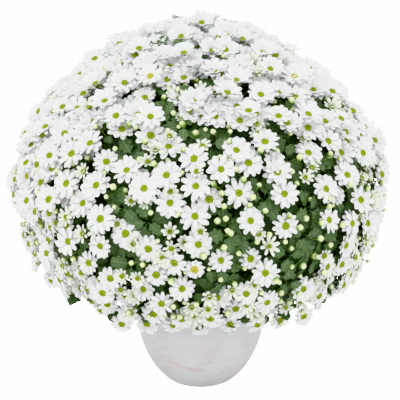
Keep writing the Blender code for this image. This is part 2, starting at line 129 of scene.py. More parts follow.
# Crumbly top of the soil
SOIL_SIDES = 72
LUMP_HEIGHT = 0.0011
CRUMB_PROFILE = ((0.0, -1.0), (0.8, -0.5), (1.0, 0.1), (0.6, 0.8), (0.0, 1.0))
CRUMB_SIDES = 6
CRUMB_SIZES = (0.0007, 0.0024)
CRUMB_ROUGHNESS = 0.25

# Dome that the faces of the blooms make, as in the solids
DOME_HALF_WIDTH = 0.2505
DOME_MIDDLE = 0.272
DOME_RISE = 0.235
DOME_DROP = 0.175
RISE_POWER = 1.75
DROP_POWER = 2.2
CROWN_LEAN = -0.012
LEAN_POWER = 4
SKIRT = math.radians(130)

# Places on the dome, as in the solids
SEED = 20
PLACES = 538
SPRAYS = 54
SPACING = 0.0390
JITTER = 0.35
SETTLING_ROUNDS = 40
SETTLING_PUSH = 0.3
TOP_GAP = 0.02
SPRAY_SKIRT = 0.93 * SKIRT
SPRAY_START = 1.0
SPRAY_SPACING = 3 * SPACING
SPRAY_SETTLING_ROUNDS = 10
GOLDEN_ANGLE = math.pi * (3 - math.sqrt(5))
FRONT = math.radians(62)
CROWN = math.radians(28)
LEAFY_SHARE = 0.11
BUDDY_SHARE = 0.05
YOUNG_SHARE = 0.13
LEAFY_GAPS = (
    (35, 0), (42, -17), (43, -47), (46, 39), (49, 57), (57, -25), (54, 8), (57, 30),
    (65, 50), (70, -25), (70, 22), (76, -13), (77, 35), (92, -18), (81, 29), (85, 12),
    (87, 41), (88, 24), (98, 8), (102, 24),
)
BUDDY_GAPS = ((77, 4), (96, 36), (110, 31), (50, -3), (72, 60), (64, -50), (100, -44))
SEAT_INSET = 0.0165
SPRAY_MOUND = 0.004
SPRAY_REACH = 0.062
CELL_MARGIN = 0.0042
FACING_UP = 0.45
BLOOM_LIFTS = (0.0118, 0.0090, 0.0148)
NEIGHBOURS = 7
BLOOM_RADIUS = (0.0165, 0.0185)
YOUNG_RADIUS = (0.0100, 0.0130)
BLOOM_TIP_RISE = (-0.0012, 0.0010)
LEAF_LIFT = 0.0045
BUD_STALK = (0.007, 0.010)
BUD_CLUSTER = 0.0082
BUD_SPREAD = 0.3
BUDS_TOGETHER = 2

# The studio's camera
ELEVATION = math.radians(20)
DISTANCE = 1.70
LENS = 113.8
SENSOR = 36.0
AIM = Vector((-0.0007, 0, 0.2585))
PICTURE = 400
RAY_START = 0.30
RAY_STEP = 0.002
RAY_STEPS = 250

# Sides of the bush: its crown, and five sectors round from the front
SIDES = ("crown", "front", "right", "back_right", "back_left", "left")
CROWN_EDGE = math.radians(36)
SECTORS = len(SIDES) - 1

# How the blooms face: outward, more upright on the crown, and turned to the light at the front
UPRIGHT = 0.12
UPRIGHT_CROWN = 1.9
UPRIGHT_SKIRT = 0.7
LIGHTWARD = 0.25
LIGHTWARD_CROWN = 1.05
FRONT_ENDS = 0.50
FRONT_FADES = 0.35
BACK_OF_CROWN = 0.35
UNEVEN = 0.004

# Where the faces of the fine blooms lie deeper than the dome: degrees from its top, degrees
# round from its front, the degrees that it reaches, and the depth
DIPS = (
    (10, -50, 48, 0.013), (40, 119, 36, 0.010), (102, 83, 34, 0.009), (104, -87, 28, 0.007),
    (118, -66, 40, 0.011), (34, -95, 24, 0.006), (32, 88, 20, 0.007), (124, -42, 18, 0.008),
    (118, 46, 22, 0.018),
)
SMALLER_BELOW = 0.17
SMALLER_FROM = 0.35
WOBBLE = 0.20
BUD_WOBBLE = 0.55

# What grows besides the blooms of the solids
EXTRA_SEED = 7
CANDIDATES = 9000
EXTRA_SKIRT = math.radians(126)
CLEAR = {
    "bloom": {"bloom": 0.0132, "young": 0.0120, "bud": 0.0090, "leafy": 0.0140, "buddy": 0.0140},
    "young": {"bloom": 0.0140, "young": 0.0130, "bud": 0.0080, "leafy": 0.0120, "buddy": 0.0090},
    "bud": {"bloom": 0.0122, "young": 0.0090, "bud": 0.0098, "leafy": 0.0040, "buddy": 0.0},
}
EXTRA_REACH = (0.0112, 0.0182, 0.0172)
EXTRA_YOUNG_REACH = (0.0080, 0.0122)
EXTRA_BUD_SHARE = (0.66, 1.0)
OVER_SHARE = 0.3
OVER_INSET = -0.002
OVER_APART = 0.002
UNDER_INSETS = (0.0075, 0.0110, 0.0145)
YOUNG_INSETS = (0.001, 0.012)
BUD_INSETS = (-0.003, 0.013)
GRID = 0.030
OPENING_PUSH = 0.009
CROWDED_PUSH = 1.4 * OPENING_PUSH
CROWDED_SHRINK = 0.82
CROWDED_INSET = 0.006

# Leafy openings, placed as the studio's camera sees them, in 400ths of its picture: how far
# from the picture's left and top, and the radius
SEEN_OPENINGS = (
    (219, 28, 4), (211, 40, 4), (174, 46, 6), (117, 48, 5), (108, 65, 4), (284, 67, 7),
    (101, 77, 4), (199, 77, 9), (273, 79, 6), (239, 86, 7), (241, 96, 4), (94, 91, 6),
    (122, 92, 7), (157, 91, 14), (286, 100, 9), (322, 100, 8), (340, 113, 4), (46, 118, 4),
    (317, 118, 5), (78, 123, 4), (99, 126, 7), (240, 130, 5), (273, 129, 5), (334, 130, 4),
    (52, 137, 4), (355, 135, 4), (222, 139, 7), (288, 140, 13), (136, 142, 5), (118, 146, 13),
    (32, 148, 4), (179, 149, 5), (291, 155, 5), (338, 155, 7), (154, 159, 6), (85, 165, 4),
    (355, 166, 8), (41, 167, 4), (57, 169, 7), (309, 172, 5), (112, 174, 5), (179, 173, 5),
    (258, 173, 6), (74, 178, 4), (87, 179, 6), (360, 179, 5), (270, 183, 9), (117, 186, 7),
    (125, 188, 6), (317, 190, 8), (75, 192, 4), (272, 194, 12), (41, 195, 8), (183, 195, 4),
    (108, 197, 11), (224, 199, 11), (262, 200, 14), (300, 201, 9), (349, 202, 7), (336, 205, 8),
    (92, 209, 4), (56, 213, 4), (149, 217, 9), (271, 221, 10), (75, 222, 5), (310, 222, 17),
    (213, 223, 9), (345, 224, 8), (244, 230, 6), (49, 232, 5), (155, 233, 6), (337, 233, 8),
    (106, 239, 6), (242, 246, 9), (305, 248, 12), (227, 249, 6), (280, 251, 9), (61, 253, 4),
    (338, 254, 8), (91, 257, 4), (127, 257, 7), (108, 262, 8), (286, 264, 7), (136, 267, 9),
    (322, 266, 8), (206, 280, 8), (243, 279, 11), (171, 281, 5), (321, 281, 8), (238, 284, 10),
    (282, 285, 12), (124, 288, 8), (145, 289, 4), (198, 290, 5), (284, 295, 8), (188, 303, 6),
    (175, 311, 5), (70, 306, 10),
)

# Leafy openings at the back: degrees from the top of the dome and round from its front, and
# the radius
BACK_OPENINGS = (
    (60, 120, 0.008), (85, 105, 0.009), (75, 165, 0.010), (90, 200, 0.015), (50, 190, 0.006),
    (70, 235, 0.008), (95, 255, 0.009), (45, 270, 0.006), (80, 285, 0.007), (100, 150, 0.009),
)
OPEN_MARGIN = {"bloom": 0.0120, "young": 0.0030, "bud": 0.0}
CROWN_OVERLAP = 0.50

# Sides where the bush flowers thinly: degrees from its top, degrees round from the front,
# the degrees from there to where it starts and ends to flower in full, and the least share
THIN_SIDES = (
    (97, 33, 26, 52, 0.05), (106, -6, 32, 52, 0.04), (75, -8, 18, 44, 0.12),
    (98, 200, 28, 62, 0.08), (75, 110, 15, 45, 0.25),
)
LEVEL_FULLNESS = 0.45
LEFT_FULLER = 0.5
BUNCHED = 0.0160
BUNCHED_BELOW = 0.35
CROWN_CLOSER = 0.42
CROWN_SMALL_SHARE = 0.4

# Layers of leaves from the surface inward: share of the leaves, insets, and size
LEAF_LAYERS = (
    (0.24, (0.0135, 0.0195), 0.72), (0.28, (0.018, 0.027), 0.95), (0.28, (0.028, 0.038), 1.2),
    (0.20, (0.038, 0.048), 1.5),
)
GAP_TUFTS = {"leaf": 12, "bud": 7}
LEAF_ROLL = 0.45
UNDER_LEAVES = 240
UNDER_SCALE = 1.3
UNDER_TOP = 0.204
UNDER_FALL = 0.022
UNDER_START = 0.073
UNDER_REACH = 0.112
FRINGE_LEAVES = 135
FRINGE_SCALE = 1.2
FRINGE_START = math.radians(70)
FRINGE_SPAN = math.radians(220)
FRINGE_DISTANCES = (0.130, 0.180)
FRINGE_HEIGHTS = (0.160, 0.180)
INNER_LEAVES = 430
INNER_INSETS = (0.046, 0.060)
INNER_LEAF_SCALE = 1.6

# Leafy core of the bush, behind the layers of leaves
HEART_SKIRT = math.radians(134)
CORE_INSET = 0.062
HEART_ROWS = 20
HEART_SIDES = 40
HEART_BUMPS = 0.004
HEART_RADIUS = 0.19

# Map of sixteen cells that the shapes of a kind share, with a margin in each cell
MAP_CELLS = 4
CELL_EDGE = 0.04
CELL_SHARE = 0.92
LAST_ROW = (2.4, 2.6)

# Petals: rows from root to tip, and the half width at each row as a share of the widest
PETAL_ROWS = np.array([0.0, 0.20, 0.45, 0.72, 0.92, 1.0])
PETAL_WIDTHS = np.array([0.38, 0.68, 0.92, 1.0, 0.80, 0.34])
ACROSS = np.array([-1.0, 0.0, 1.0])
PETAL_JITTER = 0.16
PETAL_LENGTHS = (0.93, 1.05)
PETAL_BREADTHS = (0.90, 1.10)
PETAL_BEND = 0.8
PETAL_SLACK = 0.07
PETAL_TWIST = 0.16
PETAL_HOLLOW = 0.20
PETAL_NOTCH = 0.035

# Share of the light that a petal lets through
LIT_THROUGH = 0.22

# Discs, cups and buds: (radius, height) from the foot up
DISC_PROFILE = ((0.94, -0.12), (1.0, 0.06), (0.74, 0.31), (0.40, 0.38), (0.0, 0.30))
DISC_MAP_RADII = (0.5, 0.44, 0.34, 0.2, 0.0)
DISC_SIDES = 12
FLORET_RISE = 0.05
DISC_LIFT = 0.0006
DISC_SHARES = (0.88, 1.1)
YOUNG_DISC_LIFT = 0.0004
YOUNG_DISC_SHARES = (0.6, 0.8)
GOLDEN_SHARE = 0.03
CALYX_PROFILE = ((0.0009, -0.0056), (0.0030, -0.0040), (0.0040, -0.0006))
CALYX_POINTS = 0.0004
BUD_PROFILE = (
    (0.30, -1.0), (0.74, -0.72), (0.98, -0.20), (0.99, 0.22), (0.78, 0.66), (0.42, 0.92),
    (0.0, 0.97),
)
BUD_CALYX_PROFILE = ((0.16, -1.28), (0.62, -1.02), (1.06, -0.22))
BUD_CALYX_POINTS = 0.22
BUD_RIPPLE = 0.05
BUD_SIDES = 8
CALYX_SIDES = 6

# Stalks: how far under a bloom or a bud they end, where they start, and their bow
NECKS = {"bloom": 0.0052, "young": 0.0052, "bud": 0.0045}
STALK_START = 0.006
STALK_BOW = 0.45
STALK_STEPS = 5
STALK_TAPER = (1.5, 0.95)

# Half of a leaf's lobed outline: shares of its length and of its half width
LEAF_MARGIN = (
    (0.00, 0.03), (0.14, 0.06), (0.22, 0.52), (0.34, 0.84), (0.44, 0.60), (0.52, 0.90),
    (0.64, 1.00), (0.74, 0.62), (0.84, 0.72), (0.94, 0.46), (1.00, 0.00),
)
LEAF_HALF_WIDTHS = (0.34, 0.42)
LEAF_DROOPS = (0.05, 0.30)
LEAF_FOLDS = (0.05, 0.40)
LEAF_WAVES = (0.02, 0.07)


# Properties


def a_colour(name, description, default):
    return bpy.props.FloatVectorProperty(
        name=name, description=description, default=default, size=3, subtype="COLOR"
    )


def a_count(name, description, default):
    return bpy.props.IntProperty(name=name, description=description, default=default, min=0)


def a_number(name, description, default, **more):
    return bpy.props.FloatProperty(name=name, description=description, default=default, **more)


class BushSizes(bpy.types.PropertyGroup):
    """Counts and sizes of what grows on the bush."""

    open_blooms: a_count("Open blooms", "Open blooms on the whole bush", 960)
    half_open: a_count("Half-open blooms", "Cupped blooms on the whole bush", 230)
    buds: a_count("Buds", "Closed buds", 430)
    leaves: a_count("Leaves", "Leaves between and under the blooms", 3000)
    disc: a_number("Disc", "Radius of an open bloom's disc", 0.0047, unit="LENGTH")
    petal_width: a_number(
        "Petal width", "Half width of a petal, by the bloom's radius", 0.192, subtype="FACTOR"
    )
    bud: a_number("Bud", "Radius of a large bud", 0.0043, unit="LENGTH")
    leaf: a_number("Leaf", "Length of a middling leaf", 0.029, unit="LENGTH")
    stalk: a_number("Stalk", "Radius of a flower stalk", 0.0008, unit="LENGTH")


class BushColours(bpy.types.PropertyGroup):
    """Colours of petals, discs, buds, leaves and stalks."""

    petal: a_colour("Petal", "White of the petals", (0.885, 0.90, 0.875))
    # Painted shade: a cool grey that darkens the petals in random streaks.
    petal_painted_shade: a_colour("Petal shade", "Cool tint on some petals", (0.70, 0.69, 0.77))
    petal_root: a_colour("Petal root", "Green-yellow near the disc", (0.66, 0.74, 0.36))
    disc: a_colour("Disc", "Yellow-green of the disc", (0.42, 0.53, 0.016))
    disc_middle: a_colour("Disc middle", "Darker middle of the disc", (0.34, 0.46, 0.008))
    disc_gold: a_colour("Golden disc", "Discs in full pollen", (0.84, 0.72, 0.12))
    # Painted shade between the florets of a disc.
    disc_gap_shade: a_colour("Disc gaps", "Shade between the florets", (0.05, 0.08, 0.002))
    leaf: a_colour("Leaf", "Dark green of the leaves", (0.058, 0.100, 0.040))
    leaf_light: a_colour("Light leaf", "Lighter patches of a leaf", (0.125, 0.205, 0.075))
    # Painted shade: the dark colour that leaves deep inside the bush are mixed towards.
    leaf_deep_shade: a_colour("Deep leaf", "Leaves deep inside the bush", (0.012, 0.025, 0.009))
    leaf_back: a_colour("Leaf back", "Paler underside of a leaf", (0.13, 0.22, 0.12))
    vein: a_colour("Vein", "Veins of a leaf", (0.19, 0.33, 0.13))
    bud_top: a_colour("Bud top", "Pale top of a bud", (0.82, 0.86, 0.58))
    bud_foot: a_colour("Bud foot", "Green foot of a bud", (0.27, 0.41, 0.09))
    stalk: a_colour("Stalk", "Olive green of the stalks", (0.10, 0.20, 0.040))
    bark: a_colour("Bark", "Brown of the old stems", (0.16, 0.12, 0.06))


class PotLooks(bpy.types.PropertyGroup):
    """Finish of the pot and of what fills it."""

    whitewash: a_colour("Whitewash", "Lime wash over the clay", (0.655, 0.665, 0.682))
    blush: a_colour("Blush", "Clay that shows faintly through", (0.665, 0.635, 0.63))
    grime: a_colour("Grime", "Grey that settled in the brush marks", (0.55, 0.52, 0.505))
    terracotta: a_colour("Terracotta", "Bare clay in the scuffs", (0.80, 0.50, 0.43))
    peat: a_colour("Peat", "Dark potting mix", (0.035, 0.022, 0.013))
    peat_dry: a_colour("Dry peat", "Drier patches of the mix", (0.075, 0.048, 0.028))
    specks: a_colour("Specks", "Pale grit in the mix", (0.5, 0.47, 0.4))
    crumbs: a_count("Crumbs", "Loose crumbs of soil", 260)


class StudioLooks(bpy.types.PropertyGroup):
    """Camera, floor and light."""

    elevation: a_number(
        "Elevation", "Camera's angle over the dome's middle", ELEVATION, subtype="ANGLE"
    )
    distance: a_number("Distance", "Camera to the dome's middle", DISTANCE, unit="LENGTH")
    lens: a_number("Lens", "Focal length in mm", LENS)
    floor: a_colour("Floor", "Pale floor", (0.92, 0.92, 0.92))
    glow: a_number("Glow", "Keeps the floor white for the camera, shade or not", 6.0)
    sky: a_number("Sky", "Soft light from all round", 1.27)
    key: a_number("Key", "Soft light from the left, in W", 17.0)
    fill: a_number("Fill", "Soft light from the right, in W", 4.0)
    low: a_number("Low", "Soft light from low in front, in W", 1.0)


# Dome


def clamped(value):
    return min(1, max(0, value))


def eased(share):
    """A share from 0 to 1, with a gentle start and end."""
    return share * share * (3 - 2 * share)


def dome_middle(height):
    """Where the dome's middle is along X at a height over its widest level: its crown leans left."""
    return CROWN_LEAN * max(0, height / DOME_RISE) ** LEAN_POWER


def dome_point(polar, azimuth, inset=0.0):
    """A point on the dome, or on the same dome shrunk by the inset. Azimuth 0 is the front."""
    side, up = math.sin(polar), math.cos(polar)
    power = RISE_POWER if up >= 0 else DROP_POWER
    half_height = (DOME_RISE if up >= 0 else DOME_DROP) - inset
    radius = (DOME_HALF_WIDTH - inset) * side ** (2 / power)
    height = math.copysign(half_height * abs(up) ** (2 / power), up)
    x = dome_middle(height) + radius * math.sin(azimuth)
    return Vector((x, -radius * math.cos(azimuth), DOME_MIDDLE + height))


def dome_angles(point):
    """The polar angle and azimuth of the dome point nearest to a point."""
    height = point.z - DOME_MIDDLE
    across = point.x - dome_middle(height)
    power = RISE_POWER if height >= 0 else DROP_POWER
    half_height = DOME_RISE if height >= 0 else DOME_DROP
    side = (math.hypot(across, point.y) / DOME_HALF_WIDTH) ** (power / 2)
    up = math.copysign((abs(height) / half_height) ** (power / 2), height)
    return math.atan2(side, up), math.atan2(across, -point.y)


def surface_frame(surface, polar, azimuth):
    """Point, outward normal and downhill tangent of a surface given as a function of two angles."""
    step = 0.004
    point = surface(polar, azimuth)
    down = surface(polar + step, azimuth) - surface(polar - step, azimuth)
    sideways = surface(polar, azimuth + step) - surface(polar, azimuth - step)
    normal = down.cross(sideways).normalized()
    return point, normal, down.normalized()


def even_polar_angles(count, last):
    """Polar angles that give each place of a spiral the same area of the dome."""
    steps = 400
    shares = [0.0]
    before = dome_point(0.0001, 0)
    for i in range(1, steps + 1):
        here = dome_point(last * i / steps, 0)
        ring = abs(here.y) + abs(before.y)
        shares.append(shares[-1] + ring * (here - before).length)
        before = here
    angles = []
    i = 0
    for place in range(count):
        wanted = shares[-1] * (place + 0.5) / count
        while shares[i + 1] < wanted:
            i += 1
        part = (wanted - shares[i]) / (shares[i + 1] - shares[i])
        angles.append(last * (i + part) / steps)
    return angles


def spiral(count, last, start=0.0):
    polar_angles = even_polar_angles(count, last)
    return [(polar, start + i * GOLDEN_ANGLE) for i, polar in enumerate(polar_angles)]


def tree_of(points):
    tree = KDTree(len(points))
    for i, point in enumerate(points):
        tree.insert(point, i)
    tree.balance()
    return tree


def settled(places, spacing, rounds):
    """Places that stand closer than the spacing push each other apart along the dome."""
    for _ in range(rounds):
        points = [dome_point(*place) for place in places]
        tree = tree_of(points)
        moved = []
        for i, point in enumerate(points):
            push = Vector()
            for near, j, distance in tree.find_range(point, spacing):
                if j != i and distance > 0:
                    push += (point - near) * (spacing - distance) / distance
            polar, azimuth = dome_angles(point + push * SETTLING_PUSH)
            moved.append((min(polar, SKIRT), azimuth))
        places = moved
    return places


def bloom_places(rng):
    jitter = JITTER * SPACING / DOME_HALF_WIDTH
    rough = [
        (
            min(SKIRT, max(TOP_GAP, polar + rng.uniform(-jitter, jitter))),
            azimuth + rng.uniform(-jitter, jitter),
        )
        for polar, azimuth in spiral(PLACES, SKIRT)
    ]
    return settled(rough, SPACING, SETTLING_ROUNDS)


def kinds_of(places, rng):
    """What grows at each place: the gaps seen from the front, and seeded draws elsewhere."""
    kinds = []
    for polar, azimuth in places:
        azimuth = math.remainder(azimuth, 2 * math.pi)
        draw = rng.random()
        hidden = abs(azimuth) > FRONT or polar < CROWN
        if hidden and draw < LEAFY_SHARE:
            kinds.append("leaf")
        elif hidden and draw < LEAFY_SHARE + BUDDY_SHARE:
            kinds.append("buds")
        elif draw > 1 - YOUNG_SHARE:
            kinds.append("young")
        else:
            kinds.append("bloom")
    points = [dome_point(*place) for place in places]
    for gaps, kind in ((LEAFY_GAPS, "leaf"), (BUDDY_GAPS, "buds")):
        for polar, azimuth in gaps:
            gap = dome_point(math.radians(polar), math.radians(azimuth))
            nearest = min(range(len(points)), key=lambda i: (points[i] - gap).length)
            kinds[nearest] = kind
    return kinds


def mounded(centre):
    """The surface of one spray's top: the dome, a little lower away from the spray's centre."""

    def surface(polar, azimuth):
        away = (dome_point(polar, azimuth) - centre).length / SPRAY_REACH
        return dome_point(polar, azimuth, SEAT_INSET + SPRAY_MOUND * away * away)

    return surface


def inside_cell(place, own, others):
    """The place moved, where needed, to stand a margin inside its own spray's cell."""
    point = dome_point(*place)
    for other in others:
        across = (other - own).normalized()
        beyond = (point - (own + other) / 2).dot(across) + CELL_MARGIN
        if beyond > 0:
            point -= across * beyond
    return dome_angles(point)


def turned_heading(normal, tangent, angle):
    return Matrix.Rotation(angle, 3, normal) @ tangent


def levels_of(points):
    """One of three heights for each place, unlike those of most of its neighbours."""
    tree = tree_of(points)
    levels = {}
    for i, point in enumerate(points):
        near = [levels[j] for _, j, _ in tree.find_n(point, NEIGHBOURS) if j in levels]
        levels[i] = min(range(len(BLOOM_LIFTS)), key=near.count)
    return levels


# What grows where


def facing(normal):
    """The way a bloom faces on this outward direction: on the back of the crown it faces out."""
    before = clamped((FRONT_ENDS - normal.y) / FRONT_FADES)
    crown = max(0, normal.z) ** 2 * (BACK_OF_CROWN + (1 - BACK_OF_CROWN) * before)
    up = UPRIGHT + UPRIGHT_CROWN * crown + UPRIGHT_SKIRT * max(0, -normal.z)
    forward = (LIGHTWARD * (1 - normal.y**2) + LIGHTWARD_CROWN * crown) * before
    return (normal + Vector((0, -forward, up))).normalized()


def wobbled(axis, rng, most):
    return (axis + Vector([rng.uniform(-most, most) for _ in range(3)])).normalized()


def new_growth(kind, heading, normal, middle, reach=1.0, **more):
    """A bloom, a half-open bloom, a bud or a leaf. Its gap says whether it stands for a gap."""
    return SimpleNamespace(
        kind=kind, heading=heading, normal=normal, middle=middle, reach=reach, gap=False, **more
    )


def growth_at(kind, surface_place, level, rng):
    """Place, axis and size of one growth of the solids, from the same draws as theirs."""
    point, normal, tangent = surface_place
    axis = (normal + Vector((0, 0, FACING_UP))).normalized()
    heading = turned_heading(normal, tangent, rng.uniform(0, 2 * math.pi))
    growth = new_growth(kind, heading, normal, point + normal * LEAF_LIFT, seat=point)
    if kind != "leaf":
        growth.reach = rng.uniform(*(YOUNG_RADIUS if kind == "young" else BLOOM_RADIUS))
        growth.middle = point + axis * BLOOM_LIFTS[level]
    if kind == "bloom":
        rng.uniform(*BLOOM_TIP_RISE)
    return growth


def bud_growths(surface, place, rng):
    """A cluster of buds of the solids."""
    point, normal, tangent = surface_frame(surface, *place)
    start = rng.uniform(0, 2 * math.pi)
    growths = []
    for i in range(BUDS_TOGETHER):
        away = turned_heading(normal, tangent, start + i * 2 * math.pi / BUDS_TOGETHER)
        spot, up, down = surface_frame(surface, *dome_angles(point + away * BUD_CLUSTER))
        axis = (up + Vector((0, 0, FACING_UP)) + away * BUD_SPREAD).normalized()
        middle = spot + axis * rng.uniform(*BUD_STALK)
        growths.append(new_growth("bud", down, up, middle, axis=axis, seat=spot))
    return growths


def solid_growths(spray_points):
    """Everything that grows on the solid sprays, with a mark on what stands for a leafy gap."""
    rng = random.Random(SEED)
    places = bloom_places(rng)
    kinds = kinds_of(places, rng)
    points = [dome_point(*place) for place in places]
    levels = levels_of(points)
    growths = []
    for i, (place, kind) in enumerate(zip(places, kinds)):
        own = min(range(SPRAYS), key=lambda k: (spray_points[k] - points[i]).length)
        others = [spray_points[k] for k in range(SPRAYS) if k != own]
        place = inside_cell(place, spray_points[own], others)
        surface = mounded(spray_points[own])
        if kind == "buds":
            growths += bud_growths(surface, place, rng)
        else:
            growths.append(growth_at(kind, surface_frame(surface, *place), levels[i], rng))
        growths[-1].gap = kind in ("leaf", "buds")
    return growths


class Taken:
    """Places already taken on the dome, sorted into a grid, so that a new one can stand clear."""

    def __init__(self):
        self.cells = {}

    def key(self, point):
        return tuple(int(math.floor(x / GRID)) for x in point)

    def add(self, point, kind, inset):
        self.cells.setdefault(self.key(point), []).append((point, kind, inset))

    def near(self, point):
        around = [(i - 1, i, i + 1) for i in self.key(point)]
        for cell in itertools.product(*around):
            yield from self.cells.get(cell, ())

    def clear(self, point, kind, scale):
        limits = CLEAR[kind]
        return all(
            (point - other).length > limits[what] * scale for other, what, _ in self.near(point)
        )

    def insets(self, point, kind, within):
        return [
            inset
            for other, what, inset in self.near(point)
            if what == kind and (point - other).length < within
        ]


def extra_growth(kind, place, inset, rng):
    surface = functools.partial(dome_point, inset=inset)
    point, normal, tangent = surface_frame(surface, *place)
    heading = turned_heading(normal, tangent, rng.uniform(0, 2 * math.pi))
    reaches = {
        "bloom": rng.triangular(*EXTRA_REACH),
        "young": rng.uniform(*EXTRA_YOUNG_REACH),
        "bud": rng.uniform(*EXTRA_BUD_SHARE),
    }
    return new_growth(kind, heading, normal, point, reach=reaches[kind])


def extra_inset(kind, point, taken, rng):
    """How far below the dome an extra growth stands, apart in height from the blooms round it."""
    if kind == "young":
        return rng.uniform(*YOUNG_INSETS)
    if kind == "bud":
        return rng.uniform(*BUD_INSETS)
    near = taken.insets(point, "bloom", GRID)
    if rng.random() < OVER_SHARE and all(inset > OVER_INSET + OVER_APART for inset in near):
        return OVER_INSET
    return max(UNDER_INSETS, key=lambda inset: min([abs(inset - x) for x in near] + [1.0]))


def direction(polar, azimuth):
    side = math.sin(polar)
    return Vector((side * math.sin(azimuth), -side * math.cos(azimuth), math.cos(polar)))


def level_direction(azimuth):
    return Vector((math.sin(azimuth), -math.cos(azimuth), 0))


def degrees_away(normal, polar, azimuth):
    """Degrees between an outward direction and the one that two angles in degrees give."""
    return math.degrees(normal.angle(direction(math.radians(polar), math.radians(azimuth))))


def dip(normal):
    """How much deeper than the dome a bloom with this outward direction lies."""
    return sum(
        deepest * eased(clamped(1 - degrees_away(normal, polar, azimuth) / reach))
        for polar, azimuth, reach, deepest in DIPS
    )


def fullness(place):
    """How thickly the bush flowers at a place, from nearly 0 on its thin sides to 1 on top."""
    here = direction(*place)
    on_top = LEVEL_FULLNESS + (1 - LEVEL_FULLNESS) * max(0, here.z)
    full = min(1, on_top + LEFT_FULLER * max(0, -here.x))
    for polar, azimuth, near, far, least in THIN_SIDES:
        share = clamped((degrees_away(here, polar, azimuth) - near) / (far - near))
        full *= least + (1 - least) * eased(share)
    return full


def dome_seen(x, y):
    """The point of the dome that the camera sees at a place in its picture, and how far ahead."""
    middle = Vector((0, 0, DOME_MIDDLE))
    eye = middle + Vector((0, -math.cos(ELEVATION), math.sin(ELEVATION))) * DISTANCE
    ahead = (AIM - eye).normalized()
    right = ahead.cross(Vector((0, 0, 1))).normalized()
    scale = SENSOR / LENS / PICTURE
    across, down = (x - PICTURE / 2) * scale, (y - PICTURE / 2) * scale
    ray = ahead + right * across - right.cross(ahead) * down
    best = None
    for step in range(RAY_STEPS):
        depth = DISTANCE - RAY_START + RAY_STEP * step
        point = eye + ray * depth
        surface = dome_point(*dome_angles(point))
        outside = (point - middle).length - (surface - middle).length
        if best is None or outside < best[0]:
            best = (outside, surface, depth)
        if outside <= 0:
            break
    return best[1], best[2]


@functools.cache
def openings():
    """Middle and radius of each leafy opening."""
    found = [
        (dome_point(math.radians(polar), math.radians(azimuth)), radius)
        for polar, azimuth, radius in BACK_OPENINGS
    ]
    for x, y, radius in SEEN_OPENINGS:
        point, depth = dome_seen(x, y)
        found.append((point, radius * depth * SENSOR / LENS / PICTURE))
    return found


def has_room(kind, place, point, taken, rng):
    """Whether an extra growth may stand there.

    Thin sides have few blooms, in close bunches, and the crown has few buds and young blooms.
    """
    crown = max(0, math.cos(place[0])) ** 2
    if not taken.clear(point, kind, 1 - CROWN_CLOSER * crown):
        return False
    margin = OPEN_MARGIN[kind] * (1 - CROWN_OVERLAP * crown)
    if margin and any((point - middle).length < radius + margin for middle, radius in openings()):
        return False
    if kind != "bloom":
        return rng.random() < 1 - (1 - CROWN_SMALL_SHARE) * crown
    full = fullness(place)
    if full < BUNCHED_BELOW and not taken.insets(point, "bloom", BUNCHED):
        return False
    return rng.random() < full


def open_the_gaps(growths):
    """Moves the blooms of the solids a little out of the leafy openings that they reach into."""
    for growth in growths:
        normal = growth.normal
        margin = OPEN_MARGIN.get(growth.kind, 0) * (1 - CROWN_OVERLAP * max(0, normal.z) ** 2)
        if not margin:
            continue
        surface_point = dome_point(*dome_angles(growth.middle))
        push = Vector()
        for middle, radius in openings():
            away = surface_point - middle
            if away.length < radius + margin:
                push += away.normalized() * (radius + margin - away.length)
        push -= normal * push.dot(normal)
        if push.length > CROWDED_PUSH:
            growth.reach *= CROWDED_SHRINK
            growth.middle -= normal * CROWDED_INSET
        growth.middle += push * (OPENING_PUSH / max(push.length, OPENING_PUSH))


def extra_growths(counts, growths, rng):
    """Further blooms, half-open blooms and buds, in the room that the others leave."""
    taken = Taken()
    for growth in growths:
        surface_point = dome_point(*dome_angles(growth.middle))
        kind = growth.kind
        if growth.gap:
            kind = "leafy" if kind == "leaf" else "buddy"
        inset = (surface_point - growth.middle).dot(growth.normal)
        taken.add(surface_point, kind if kind in CLEAR["bloom"] else "leafy", inset)
    candidates = spiral(CANDIDATES, EXTRA_SKIRT, 0.5)
    made = []
    for kind, count in counts:
        rng.shuffle(candidates)
        for place in candidates:
            if count <= 0:
                break
            point = dome_point(*place)
            if has_room(kind, place, point, taken, rng):
                inset = extra_inset(kind, point, taken, rng)
                made.append(extra_growth(kind, place, inset, rng))
                taken.add(point, kind, inset)
                count -= 1
    return made


def leaf_at(point, out, heading, length, lift, depth, rng):
    """A leaf from its foot, its midrib along the heading and lifted outward, its face out.

    The depth, from 0 at the surface to 3 deep inside, picks how much painted shade darkens the leaf.
    """
    along = (heading + out * lift).normalized()
    face = (out - along * out.dot(along)).normalized()
    face = Matrix.Rotation(rng.uniform(-LEAF_ROLL, LEAF_ROLL), 3, along) @ face
    return SimpleNamespace(foot=point, along=along, face=face, length=length, depth=depth)


def gap_leaves(growths, size, rng):
    """A tuft of leaves in each leafy gap, the small ones on top, and fewer by the buds."""
    for growth in growths:
        if not growth.gap:
            continue
        out, seat = growth.normal, growth.seat
        for i in range(GAP_TUFTS[growth.kind]):
            heading = turned_heading(out, growth.heading, i * GOLDEN_ANGLE)
            heading = (heading - out * heading.dot(out)).normalized()
            foot = seat + out * (0.006 - 0.0022 * i) + heading * (0.001 + 0.0008 * i)
            length = size * (0.65 + 0.06 * i) * rng.uniform(0.9, 1.1)
            lift = rng.uniform(0.0, 0.35)
            yield leaf_at(foot, out, heading, length, lift, i // 4, rng)


